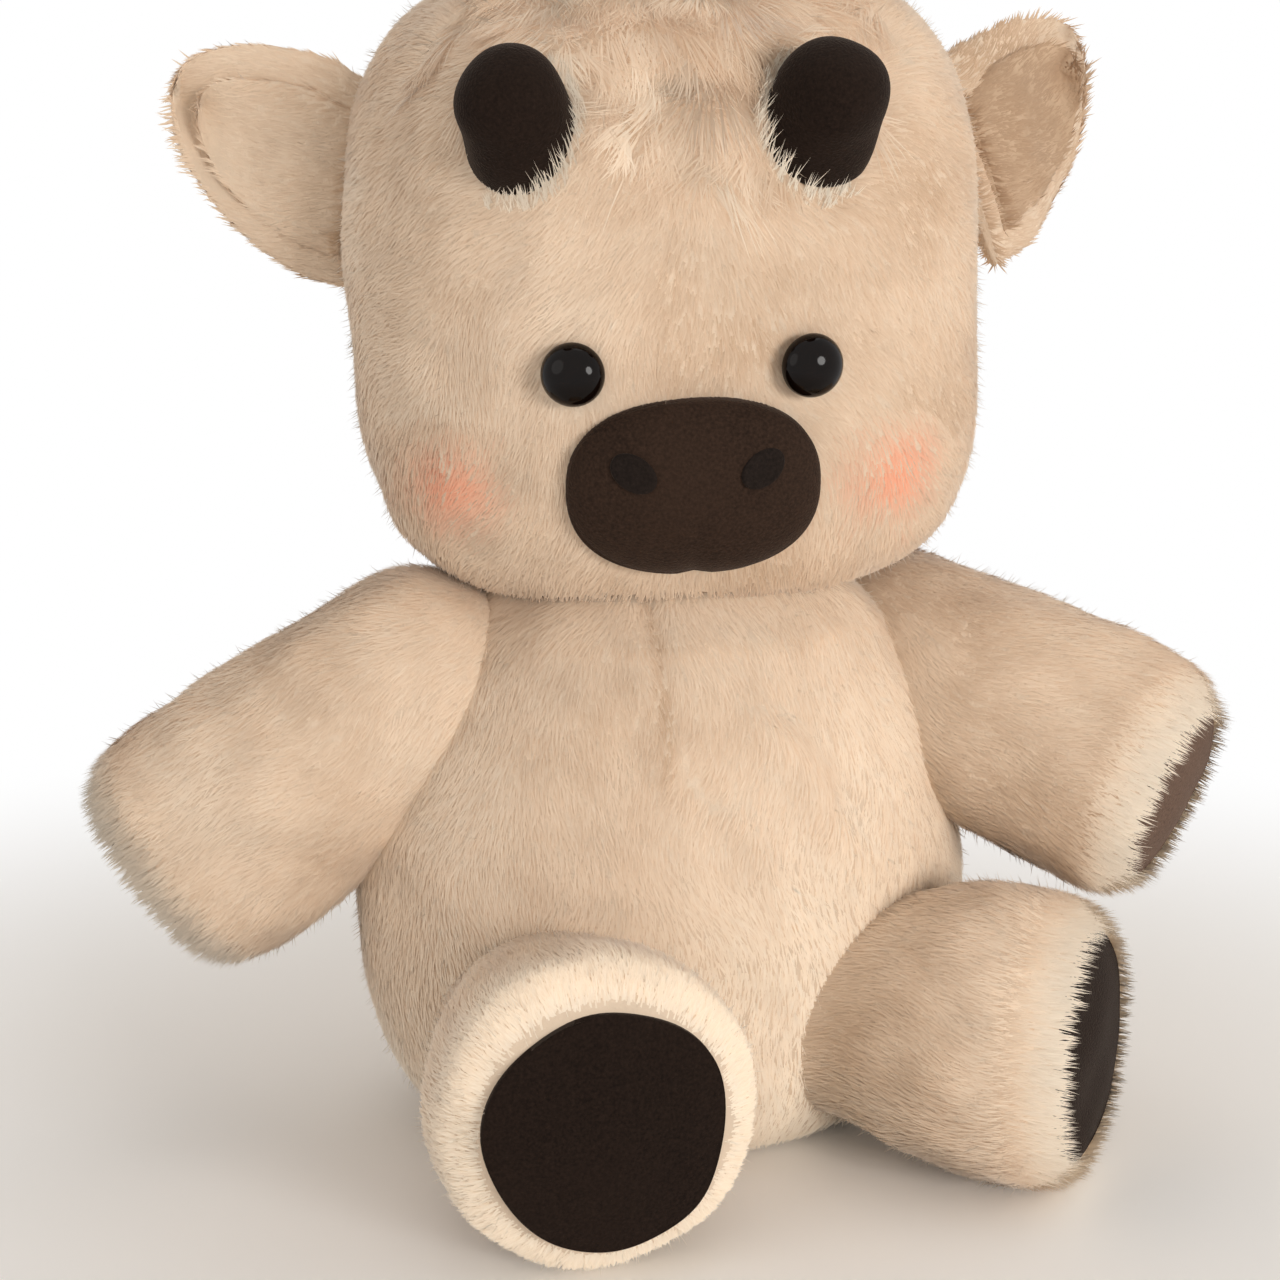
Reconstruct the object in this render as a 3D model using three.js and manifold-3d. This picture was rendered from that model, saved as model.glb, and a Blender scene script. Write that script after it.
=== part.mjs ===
// Seated plush cow: sewn pile covers over stuffing, with suede pads, horns and muzzle, and button eyes.
// Millimetres, +Z up. The cow faces -Y, its own left side is +X, and the origin is the middle of its flat seat.
import * as THREE from 'three';
import { mergeVertices } from 'three/addons/utils/BufferGeometryUtils.js';
import Module from 'manifold-3d';

const wasm = await Module();
wasm.setup();
const { degToRad, lerp, smoothstep } = THREE.MathUtils;
const QUARTER_TURN = Math.PI / 2;

// Fabrics, seams and clearances
const pileWall = 4.5;
const suedeWall = 2;
const seamGap = 0.3;
const cutOverrun = 4;

// Body: a pear with a flat seat and a ball-shaped top that the head turns on
const bodyWidth = 146;
const bodyDepth = 118;
const bodyTurn = 10;
const neckHeight = 74.5;
const neckRadius = 69;
const neckOpeningRadius = 18;
const domeStartAngle = 42;
// Each row: share of the height up to the dome, of half the width and of half the depth
const bodyStationShares = [
  [0, 0.66, 0.68],
  [0.05, 0.79, 0.8],
  [0.17, 0.92, 0.94],
  [0.36, 1, 1],
  [0.58, 1, 1.01],
  [0.82, 0.89, 0.97],
];

// Bag of weighting pellets on the floor of the body
const pelletBagWidth = 56;
const pelletBagDepth = 50;
const pelletBagHeight = 20;
const pelletBagBack = 8;
const pelletBagCrownShare = 0.6;
const bagFloor = pileWall + seamGap;

// Head: a rounded block, tipped forward over the body
const headWidth = 144;
const headDepth = 122;
const headHeight = 141;
const headCentreHeight = 196;
const headForward = 3;
const headTip = 8;
const headTilt = 2;
const headPlanPower = 2.35;
const headCrownPower = 2.8;
const headJawPower = 3.9;

// Eyes: glossy domes with a shank through the cover and a lock washer behind it
const eyeDiameter = 13;
const eyeBulge = 5;
const eyeSpacing = 48;
const eyeDrop = 10.5;
const shankDiameter = 4;
const shankLength = 11;
const washerDiameter = 12;
const washerThickness = 1.6;

// Muzzle panel over a stuffed bulge, with two nostril patches
const muzzleWidth = 52.5;
const muzzleHeight = 38;
const muzzleBulge = 8;
const muzzleDrop = 35;
const nostrilLength = 10.5;
const nostrilWidth = 7.5;
const nostrilThickness = 2.4;
const nostrilSpacing = 26;
const nostrilRise = 5.5;
const nostrilTilt = 35;

// Horns: short stuffed stubs
const hornDiameter = 23;
const hornLength = 16;
const hornSpacing = 60;
const hornShift = -3;
const hornRise = 38;
const hornLeanForward = 45;
const hornSplay = 10;
const hornRootDepth = 8;
const hornSwellShare = 1.02;
const hornCrownPower = 2.35;

// Forelock panel of longer pile over the forehead and crown
const forelockWall = 4.5;
const forelockWidth = 92;
const forelockReach = 54;
const forelockRise = 44;
const forelockBack = 18;

// Ears: cupped flaps that fold at the seam to the head
const earLength = 35;
const earHeight = 47;
const earThickness = 11;
const earCup = 5;
const earCurl = 4;
const earSweep = 9;
const earRootRise = 27;
const earRootStandoff = 3.5;
const earRightUp = 14;
const earRightBack = 0;
const earLeftUp = 22;
const earLeftBack = 32;
const earPlanPower = 2.3;
// Where on the rounded outline the root starts, how full the outline is, and the thickness of the tip
const earRootShare = 0.46;
const earOutlinePower = 0.5;
const earTipShare = 0.7;
// The lining is a smaller ear form, set forward by a share of the thickness and out by a share of the length
const liningSizeShare = 0.74;
const liningForwardShare = 0.42;
const liningOutShare = 0.12;

// Arms: tapered, wider at the paw, with a suede pad let into the end
const armRootRadius = 24.5;
const armEndWidth = 60;
const armEndDepth = 49;
const armLength = 74;
const armEdgeRadius = 8;
const shoulderSpacing = 116;
const shoulderHeight = 105;
const shoulderForward = 4;
const armRightDown = 35;
const armRightForward = 0;
const armLeftDown = 18;
const armLeftForward = 40;
const armLiftLimit = 30;
const handPadWidth = 40;
const handPadDepth = 33;

// Legs: short and fat, lying on the ground, each with a round suede sole
const legRootRadius = 26;
const legEndWidth = 67;
const legEndHeight = 66;
const legLength = 56;
const legEdgeRadius = 9.5;
const legFlat = 0.5;
const hipSpacing = 70;
const hipForward = 38;
const legRightYaw = -9;
const legLeftYaw = 58;
const legRightLimit = 40;
const legLeftLimit = 35;
const footPadDiameter = 48.5;

// Pads: the crown of a pad, and the shares of its width and height at the ring that shapes it
const padCrown = 1.2;
const padRingShares = [0.6, 0.8];

// Tail: a thin sewn tube with a tuft, at the back
const tailDiameter = 8;
const tailRootHeight = 47;
const tailLength = 40;
const tailDroop = 42;
const tailRootRadius = 6;
const tuftDiameter = 15;
const tuftLength = 24;
const tailRootGap = 0.4;
const tailTaperShare = 0.85;

// Facets: steps round and along each kind of form, fewer on what lies inside a cover
const outerSteps = { socket: 32, round: 24, head: 12, body: 8, dome: 3, limbRound: 20, root: 6, shank: 3, edge: 3 };
const innerSteps = { round: 14, head: 8, body: 6, dome: 3, limbRound: 12, root: 3, shank: 2, edge: 2 };
const smallRound = 12;
const fewRound = 8;
const earSteps = { root: 4, along: 6 };
const hornSteps = 5;
const stepsFor = (grow) => (grow < 0 ? innerSteps : outerSteps);

// Finishes
const cream = { color: 0xd9bd9c, roughness: 1 };
const suede = { color: 0x4a3a32, roughness: 0.95 };
const nostrilCloth = { color: 0x1f1713, roughness: 0.9 };
const filling = { color: 0xf1eee8, roughness: 1 };
const gloss = { color: 0x0a0908, roughness: 0.08 };
const hardPlastic = { color: 0xe6e4df, roughness: 0.5 };
const bagCloth = { color: 0xe4e0d6, roughness: 0.95 };

// A closed mesh from rings between two end points, all about the local Z axis
function ringGeometry(rings, startZ, endZ, around, power = 2) {
  const points = [];
  const index = [];
  const first = rings[0];
  const last = rings[rings.length - 1];
  points.push(first.x ?? 0, first.y ?? 0, startZ);
  for (const ring of rings) {
    for (let k = 0; k < around; k += 1) {
      const angle = (k / around) * 2 * Math.PI;
      const exponent = 2 / (ring.power ?? power);
      const across = signedPower(Math.cos(angle), exponent) * ring.a;
      const deep = signedPower(Math.sin(angle), exponent) * ring.b;
      const bend = (ring.cup ?? 0) * (ring.a > 0 ? (across / ring.a) ** 2 : 0);
      points.push((ring.x ?? 0) + across, (ring.y ?? 0) + deep - bend, ring.z);
    }
  }
  points.push(last.x ?? 0, last.y ?? 0, endZ);
  const end = rings.length * around + 1;
  for (let k = 0; k < around; k += 1) {
    const next = (k + 1) % around;
    index.push(0, 1 + next, 1 + k);
    for (let r = 0; r < rings.length - 1; r += 1) {
      const low = 1 + r * around;
      const high = low + around;
      index.push(low + k, low + next, high + next, low + k, high + next, high + k);
    }
    index.push(end, end - around + k, end - around + next);
  }
  const geometry = new THREE.BufferGeometry();
  geometry.setAttribute('position', new THREE.Float32BufferAttribute(points, 3));
  geometry.setIndex(index);
  return geometry;
}

function signedPower(value, exponent) {
  return Math.sign(value) * Math.abs(value) ** exponent;
}

// A solid for joining and cutting, from a geometry and the matrices that place it
function solidOf(geometry, ...matrices) {
  const placed = geometry.clone();
  placed.deleteAttribute('normal');
  placed.deleteAttribute('uv');
  for (const matrix of matrices) placed.applyMatrix4(matrix);
  const merged = mergeVertices(placed);
  const vertProperties = new Float32Array(merged.attributes.position.array);
  const triVerts = new Uint32Array(merged.index.array);
  return new wasm.Manifold(new wasm.Mesh({ numProp: 3, vertProperties, triVerts }));
}

function geometryOf(solid) {
  const mesh = solid.getMesh();
  const geometry = new THREE.BufferGeometry();
  geometry.setAttribute('position', new THREE.BufferAttribute(mesh.vertProperties, 3));
  geometry.setIndex(new THREE.BufferAttribute(mesh.triVerts, 1));
  geometry.computeVertexNormals();
  return geometry;
}

function addAll(first, ...others) {
  return others.reduce((sum, other) => sum.add(other), first);
}

function cutAll(solid, ...cutters) {
  return cutters.reduce((rest, cutter) => rest.subtract(cutter), solid);
}

function at(x, y, z) {
  return new THREE.Matrix4().makeTranslation(x, y, z);
}

// A frame with local Z along the direction and local Y as near as can be to the guide
function frameAlong(direction, guide) {
  const z = direction.clone().normalize();
  const y = guide.clone().addScaledVector(z, -guide.dot(z)).normalize();
  const x = new THREE.Vector3().crossVectors(y, z);
  return new THREE.Matrix4().makeBasis(x, y, z);
}

const backward = new THREE.Vector3(0, 1, 0);
const upward = new THREE.Vector3(0, 0, 1);

// A ball whose facets all lie outside the radius asked for
function ballSolid(radius, centre, around) {
  const facetShare = 1 / Math.cos(Math.PI / around) ** 2;
  const ball = new THREE.SphereGeometry(radius * facetShare, around, around / 2);
  return solidOf(ball, at(centre.x, centre.y, centre.z));
}

// A round bar along local Z from low to high
function barGeometry(radius, low, high, around = smallRound) {
  const bar = new THREE.CylinderGeometry(radius, radius, high - low, around);
  return bar.rotateX(QUARTER_TURN).translate(0, 0, (low + high) / 2);
}

// Body form: the stations give smooth rings up to the dome, which closes it as part of a ball
function bodyForm(grow) {
  const radius = neckRadius + grow;
  const domeAngle = degToRad(domeStartAngle);
  const floorZ = -grow;
  const domeZ = neckHeight + radius * Math.sin(domeAngle);
  const domeRadius = radius * Math.cos(domeAngle);
  const stations = bodyStationShares.map(([heightShare, widthShare, depthShare]) => {
    const a = (widthShare * bodyWidth) / 2 + grow;
    const b = (depthShare * bodyDepth) / 2 + grow;
    return new THREE.Vector3(a, b, lerp(floorZ, domeZ, heightShare));
  });
  stations.push(new THREE.Vector3(domeRadius, domeRadius, domeZ));
  const steps = stepsFor(grow);
  const side = new THREE.CatmullRomCurve3(stations);
  const rings = side.getPoints(steps.body).map((p) => ({ a: p.x, b: p.y, z: p.z }));
  rings[0].z = floorZ;
  for (let k = 1; k < steps.dome; k += 1) {
    const angle = lerp(domeAngle, QUARTER_TURN, k / steps.dome);
    const wide = radius * Math.cos(angle);
    rings.push({ a: wide, b: wide, z: neckHeight + radius * Math.sin(angle) });
  }
  return ringGeometry(rings, floorZ, neckHeight + radius, steps.round);
}

// Head form about its own centre: a rounded block, squarer at the jaw than at the crown
function headForm(grow) {
  const a = headWidth / 2 + grow;
  const b = headDepth / 2 + grow;
  const c = headHeight / 2 + grow;
  const steps = stepsFor(grow);
  const rings = [];
  for (let k = 1; k < steps.head; k += 1) {
    const angle = lerp(-QUARTER_TURN, QUARTER_TURN, k / steps.head);
    const power = angle < 0 ? headJawPower : headCrownPower;
    const wide = signedPower(Math.cos(angle), 2 / power);
    rings.push({ a: a * wide, b: b * wide, z: c * signedPower(Math.sin(angle), 2 / power) });
  }
  return ringGeometry(rings, -c, c, steps.round, headPlanPower);
}

// Where the face is, at a place across and up from the middle of the head, and which way it looks
function facePlace(across, rise) {
  const power = rise < 0 ? headJawPower : headCrownPower;
  const level = (1 - Math.abs((2 * rise) / headHeight) ** power) ** (1 / power);
  const side = Math.abs((2 * across) / (headWidth * level)) ** headPlanPower;
  const y = (-headDepth / 2) * level * (1 - side) ** (1 / headPlanPower);
  const slope = (value, half, p) => (Math.sign(value) * Math.abs(value / half) ** (p - 1)) / half;
  const plan = (1 - Math.abs((2 * rise) / headHeight) ** power) ** (1 - headPlanPower / power);
  const normal = new THREE.Vector3(
    plan * slope(across, headWidth / 2, headPlanPower),
    plan * slope(y, headDepth / 2, headPlanPower),
    slope(rise, headHeight / 2, power),
  );
  return { point: new THREE.Vector3(across, y, rise), normal: normal.normalize() };
}

// Limb form along local Z: a ball at the seam, a shank that swells, and a flat end with a round edge
function limbForm(limb, grow) {
  const root = limb.rootRadius + grow;
  const endA = limb.endWidth / 2 + grow;
  const endB = limb.endDepth / 2 + grow;
  const edge = limb.edgeRadius + Math.min(grow, 0);
  const length = limb.length + grow;
  const steps = stepsFor(grow);
  const rings = rootRings(root, steps.root);
  for (let k = 1; k <= steps.shank; k += 1) {
    const along = k / steps.shank;
    const swell = smoothstep(along, 0, 1);
    rings.push({ a: lerp(root, endA, swell), b: lerp(root, endB, swell), z: along * (length - edge) });
  }
  for (let k = 1; k <= steps.edge; k += 1) {
    const angle = lerp(0, QUARTER_TURN, k / steps.edge);
    const inset = edge * (1 - Math.cos(angle));
    rings.push({ a: endA - inset, b: endB - inset, z: length - edge + edge * Math.sin(angle) });
  }
  return ringGeometry(rings, -root, length, steps.limbRound);
}

// The ball end of a limb, from its pole to its widest ring, or to a ring short of that
function rootRings(radius, count, lastAngle = 0) {
  const rings = [];
  for (let k = 1; k <= count; k += 1) {
    const angle = lerp(-QUARTER_TURN, lastAngle, k / count);
    const wide = radius * Math.cos(angle);
    rings.push({ a: wide, b: wide, z: radius * Math.sin(angle) });
  }
  return rings;
}

// Ear form along local Z, cupped to the front and swept up, with its root rounded about the seam
function earForm(side, grow, sizeShare = 1) {
  const rings = [];
  const half = earThickness / 2 + grow;
  const length = earLength * sizeShare + grow;
  const height = (earHeight / 2) * sizeShare + grow;
  const heightAt = (share) => height * Math.sin(Math.PI * lerp(earRootShare, 1, share)) ** earOutlinePower;
  for (let k = 1; k < earSteps.root; k += 1) {
    const share = k / earSteps.root;
    const angle = share * QUARTER_TURN;
    rings.push({ a: heightAt(0) * Math.sqrt(share), b: half * Math.sin(angle), z: -half * Math.cos(angle) });
  }
  for (let k = 0; k < earSteps.along; k += 1) {
    const share = k / earSteps.along;
    const thin = Math.sqrt(1 - share ** 3) * lerp(1, earTipShare, share);
    const bend = smoothstep(share, 0, 1);
    rings.push({
      a: heightAt(share), b: half * thin, z: length * share,
      x: -side * earSweep * sizeShare * share ** 2, y: earCup * bend - earCurl * share ** 2, cup: earCup * bend,
    });
  }
  return ringGeometry(rings, -half, length, smallRound, earPlanPower);
}

// Horn form along local Z: a stub with a round top, its root sunk below the head's surface
function hornForm(grow) {
  const radius = hornDiameter / 2 + grow;
  const top = hornLength + grow;
  const shoulder = top - radius;
  const swell = radius * hornSwellShare;
  const rings = [{ a: radius, b: radius, z: -hornRootDepth }, { a: swell, b: swell, z: (shoulder - hornRootDepth) / 2 }];
  for (let k = 0; k < hornSteps; k += 1) {
    const angle = (k / hornSteps) * QUARTER_TURN;
    const wide = radius * signedPower(Math.cos(angle), 2 / hornCrownPower);
    rings.push({ a: wide, b: wide, z: lerp(shoulder, top, Math.sin(angle)) });
  }
  return ringGeometry(rings, -hornRootDepth, top, smallRound);
}

const cow = new THREE.Group();

function addPiece(group, name, solid, finish) {
  const material = new THREE.MeshStandardMaterial({ metalness: 0, ...finish });
  const mesh = new THREE.Mesh(geometryOf(solid), material);
  mesh.name = name;
  group.add(mesh);
  return mesh;
}

function placedGroup(parent, matrix) {
  const group = new THREE.Group();
  group.applyMatrix4(matrix);
  parent.add(group);
  return group;
}

// Limbs: where each one's seam is, which way it points, and the hinge that it moves about
const arm = {
  rootRadius: armRootRadius, endWidth: armEndWidth, endDepth: armEndDepth, length: armLength, edgeRadius: armEdgeRadius,
};
const leg = {
  rootRadius: legRootRadius, endWidth: legEndWidth, endDepth: legEndHeight, length: legLength, edgeRadius: legEdgeRadius,
};
const hipHeight = legEndHeight / 2 - legFlat;
// The room for a swinging limb is round at the seam and squarer at the end
const roomPowers = [2.5, 3.5];

function armDirection(side, down, forward) {
  const level = Math.cos(degToRad(down));
  const ahead = Math.sin(degToRad(forward));
  const out = Math.cos(degToRad(forward));
  return new THREE.Vector3(side * level * out, -level * ahead, -Math.sin(degToRad(down)));
}

function legDirection(side, yaw) {
  return new THREE.Vector3(side * Math.sin(degToRad(yaw)), -Math.cos(degToRad(yaw)), 0);
}

// The body is turned a little from the way the head faces, and takes its seams with it
const bodyFrame = new THREE.Matrix4().makeRotationZ(degToRad(bodyTurn));

function seamPlace(across, forward, height) {
  return new THREE.Vector3(across, -forward, height).applyMatrix4(bodyFrame);
}

const limbs = [
  {
    name: 'arm_right', shape: arm, side: -1, limit: armLiftLimit,
    seam: seamPlace(-shoulderSpacing / 2, shoulderForward, shoulderHeight),
    frame: frameAlong(armDirection(-1, armRightDown, armRightForward), backward),
  },
  {
    name: 'arm_left', shape: arm, side: 1, limit: armLiftLimit,
    seam: seamPlace(shoulderSpacing / 2, shoulderForward, shoulderHeight),
    frame: frameAlong(armDirection(1, armLeftDown, armLeftForward), backward),
  },
  {
    name: 'leg_right', shape: leg, side: -1, limit: legRightLimit,
    seam: seamPlace(-hipSpacing / 2, hipForward, hipHeight),
    frame: frameAlong(legDirection(-1, legRightYaw), upward),
  },
  {
    name: 'leg_left', shape: leg, side: 1, limit: legLeftLimit,
    seam: seamPlace(hipSpacing / 2, hipForward, hipHeight),
    frame: frameAlong(legDirection(1, legLeftYaw), upward),
  },
];

// The hinge of a limb is square to it: an arm lifts, the right leg swings out and the left leg swings in
for (const limb of limbs) {
  const turn = new THREE.Vector3().setFromMatrixColumn(limb.frame, 1);
  const lifts = limb.shape === arm;
  limb.turn = turn.multiplyScalar(lifts ? -limb.side : -1);
}

// The room that a limb needs in the body, from rest to the limit of its hinge: a ball and a widening fan
function limbRoom(limb, grow) {
  const half = degToRad(limb.limit / 2);
  const steps = stepsFor(seamGap - grow);
  const facetShare = 1 / Math.cos(Math.PI / steps.limbRound);
  const root = limb.shape.rootRadius * facetShare + grow;
  const endA = (limb.shape.endWidth / 2) * facetShare + grow;
  const endB = (limb.shape.endDepth / 2) * facetShare + grow;
  const rings = rootRings(root, steps.root, -half);
  // The last ring of the ball is as deep as the limb's widest ring needs while it swings through
  rings[rings.length - 1].b = root * Math.cos(half / 2);
  const fanRing = (reach, along) => {
    const swell = smoothstep(along, 0, 1);
    const wide = lerp(root, endA, swell);
    rings.push({
      a: reach * Math.sin(half) + wide * Math.cos(half), b: lerp(root, endB, swell),
      z: reach * Math.cos(half) - wide * Math.sin(half), power: lerp(...roomPowers, along),
    });
  };
  const straight = limb.shape.length - limb.shape.edgeRadius;
  for (let k = 1; k <= steps.shank; k += 1) fanRing((straight * k) / steps.shank, k / steps.shank);
  fanRing(limb.shape.length + grow, 1);
  const end = rings[rings.length - 1].z;
  const form = ringGeometry(rings, -root, end, steps.limbRound);
  const swing = new THREE.Matrix4().makeRotationAxis(limb.turn, half);
  return solidOf(form, limb.frame, swing, at(limb.seam.x, limb.seam.y, limb.seam.z));
}

// Body: cover, stuffing, and a pellet bag that lies on the floor of the cover
function pelletBagForm(grow) {
  const half = pelletBagHeight * pelletBagCrownShare;
  const ball = new THREE.SphereGeometry(1, smallRound, smallRound);
  ball.rotateX(QUARTER_TURN).scale(pelletBagWidth / 2 + grow, pelletBagDepth / 2 + grow, half + grow);
  return solidOf(ball, at(0, pelletBagBack, bagFloor + pelletBagHeight - half));
}

function makeBody() {
  const neckOpening = solidOf(barGeometry(neckOpeningRadius, neckHeight, neckHeight + neckRadius + cutOverrun));
  const outerRooms = limbs.map((limb) => limbRoom(limb, seamGap));
  const innerRooms = limbs.map((limb) => limbRoom(limb, seamGap + pileWall));
  const fillRooms = limbs.map((limb) => limbRoom(limb, 2 * seamGap + pileWall));
  const outer = cutAll(solidOf(bodyForm(0), bodyFrame), ...outerRooms);
  const inner = cutAll(solidOf(bodyForm(-pileWall), bodyFrame), ...innerRooms);
  addPiece(cow, 'body_cover', cutAll(outer, inner, neckOpening), cream);
  const fill = cutAll(solidOf(bodyForm(-pileWall - seamGap), bodyFrame), ...fillRooms);
  addPiece(cow, 'body_stuffing', fill.subtract(pelletBagForm(seamGap)), filling);
  const belowBag = solidOf(new THREE.BoxGeometry(bodyWidth, bodyWidth, bodyWidth), at(0, 0, bagFloor - bodyWidth / 2));
  addPiece(cow, 'pellet_bag', pelletBagForm(0).subtract(belowBag), bagCloth);
}

// A suede pad let into the flat end of a limb, slightly crowned
function padForm(limb, halfWidth, halfDepth) {
  const back = limb.length - suedeWall;
  const [wideShare, crownShare] = padRingShares;
  const rings = [
    { a: halfWidth, b: halfDepth, z: back },
    { a: halfWidth, b: halfDepth, z: limb.length },
    { a: halfWidth * wideShare, b: halfDepth * wideShare, z: limb.length + padCrown * crownShare },
  ];
  return ringGeometry(rings, back, limb.length + padCrown, outerSteps.limbRound);
}

// One limb: cover open at the seam and at the pad, stuffing, and the pad itself
function makeLimb(limb, padName, padWidth, padDepth) {
  const seam = limb.seam;
  const group = placedGroup(cow, limb.frame.clone().premultiply(at(seam.x, seam.y, seam.z)));
  const root = limb.shape.rootRadius;
  const tip = limb.shape.length;
  const seamOpening = solidOf(barGeometry(root / 2, -root - cutOverrun, 0));
  const roomBack = tip - pileWall - cutOverrun;
  const roomFront = tip + cutOverrun;
  const roomRing = (z) => ({ a: padWidth / 2 + seamGap, b: padDepth / 2 + seamGap, z });
  const padRoom = ringGeometry([roomBack, roomFront].map(roomRing), roomBack, roomFront, outerSteps.limbRound);
  const ground = groundIn(limb);
  const outer = solidOf(limbForm(limb.shape, 0));
  const inner = solidOf(limbForm(limb.shape, -pileWall));
  const cover = cutAll(outer, inner, seamOpening, solidOf(padRoom), ground);
  addPiece(group, `${limb.name}_cover`, cover, cream);
  const fill = solidOf(limbForm(limb.shape, -pileWall - seamGap));
  addPiece(group, `${limb.name}_stuffing`, fill, filling);
  addPiece(group, padName, solidOf(padForm(limb.shape, padWidth / 2, padDepth / 2)), suede);
}

// Everything below the ground, in the limb's own frame
function groundIn(limb) {
  const size = 4 * limb.shape.length;
  const slab = new THREE.BoxGeometry(size, size, size).translate(0, 0, -size / 2);
  const toLimb = limb.frame.clone().invert();
  return solidOf(slab, at(-limb.seam.x, -limb.seam.y, -limb.seam.z), toLimb);
}

// Head: its frame turns about the neck, and is tipped forward about the head's own middle
const neck = new THREE.Vector3(0, 0, neckHeight);
const headMiddle = new THREE.Vector3(0, -headForward, headCentreHeight);
const headFrame = new THREE.Matrix4().makeRotationX(degToRad(headTip))
  .premultiply(new THREE.Matrix4().makeRotationY(degToRad(-headTilt)))
  .premultiply(at(headMiddle.x, headMiddle.y, headMiddle.z));
const neckInHead = neck.clone().applyMatrix4(headFrame.clone().invert());

function onFace(across, rise) {
  const place = facePlace(across, rise);
  const frame = frameAlong(place.normal, upward);
  return frame.premultiply(at(place.point.x, place.point.y, place.point.z));
}

function hornFrame(side) {
  const place = facePlace((side * hornSpacing) / 2 + hornShift, hornRise);
  const lean = degToRad(hornLeanForward);
  const splay = degToRad(hornSplay);
  const direction = new THREE.Vector3(side * Math.sin(splay), -Math.sin(lean), Math.cos(lean));
  return frameAlong(direction, backward).premultiply(at(place.point.x, place.point.y, place.point.z));
}

function earFrame(side, up, back) {
  const level = (1 - Math.abs((2 * earRootRise) / headHeight) ** headCrownPower) ** (1 / headCrownPower);
  const root = (headWidth / 2) * level + earRootStandoff;
  const direction = new THREE.Vector3(side * Math.cos(degToRad(up)), 0, Math.sin(degToRad(up)));
  const fold = new THREE.Matrix4().makeRotationX(-degToRad(back));
  return frameAlong(direction, backward).multiply(fold).premultiply(at(side * root, 0, earRootRise));
}

// A groove in the head along an ear's seam, round about the line that the ear folds on
function earGroove(side, up, grow) {
  const radius = earThickness / 2 / Math.cos(Math.PI / smallRound) + seamGap + grow;
  const bar = new THREE.CylinderGeometry(radius, radius, earHeight + 2 * seamGap, smallRound).rotateZ(QUARTER_TURN);
  return solidOf(bar, earFrame(side, up, 0));
}

function muzzleForm(grow) {
  const ball = new THREE.SphereGeometry(1, outerSteps.limbRound, fewRound).rotateX(QUARTER_TURN);
  ball.scale(muzzleWidth / 2 + grow, muzzleHeight / 2 + grow, muzzleBulge + grow);
  return solidOf(ball, onFace(0, -muzzleDrop));
}

function eyeSolids(side) {
  const frame = onFace((side * eyeSpacing) / 2, -eyeDrop);
  const radius = eyeDiameter / 2;
  const dome = new THREE.SphereGeometry(1, smallRound, smallRound).rotateX(QUARTER_TURN).scale(radius, radius, eyeBulge);
  const below = new THREE.BoxGeometry(eyeDiameter * 2, eyeDiameter * 2, eyeDiameter).translate(0, 0, -radius);
  const cap = solidOf(dome, frame).subtract(solidOf(below, frame));
  const shank = solidOf(barGeometry(shankDiameter / 2, -shankLength, eyeBulge / 2), frame);
  const washerTop = -pileWall - seamGap;
  const ring = (outerRadius, low, high) => solidOf(barGeometry(outerRadius, low, high), frame);
  const washer = ring(washerDiameter / 2, washerTop - washerThickness, washerTop)
    .subtract(ring(shankDiameter / 2 + seamGap, washerTop - washerThickness - cutOverrun, washerTop + cutOverrun));
  const coverRoom = addAll(
    ring(radius + seamGap, -seamGap, radius),
    ring(shankDiameter / 2 + seamGap, -pileWall - cutOverrun, 0),
    ring(washerDiameter / 2 + seamGap, washerTop - cutOverrun, washerTop + seamGap),
  );
  const fillRoom = addAll(
    ring(shankDiameter / 2 + seamGap, -shankLength - seamGap, 0),
    ring(washerDiameter / 2 + seamGap, washerTop - washerThickness - seamGap, 0),
  );
  return { eye: cap.add(shank), washer, coverRoom, fillRoom };
}

function nostrilSolid(side, grow) {
  const frame = onFace((side * nostrilSpacing) / 2, -muzzleDrop + nostrilRise);
  const ball = new THREE.SphereGeometry(1, smallRound, smallRound / 2);
  ball.scale(nostrilLength / 2 + grow, nostrilWidth / 2 + grow, nostrilThickness / 2 + grow);
  ball.rotateZ(side * degToRad(nostrilTilt));
  const out = at(0, 0, nostrilLift());
  return solidOf(ball, out, frame);
}

// How far the muzzle's crown stands off the face at the nostrils
function nostrilLift() {
  const across = nostrilSpacing / muzzleWidth;
  const up = (2 * nostrilRise) / muzzleHeight;
  return muzzleBulge * Math.sqrt(1 - across ** 2 - up ** 2);
}

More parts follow.
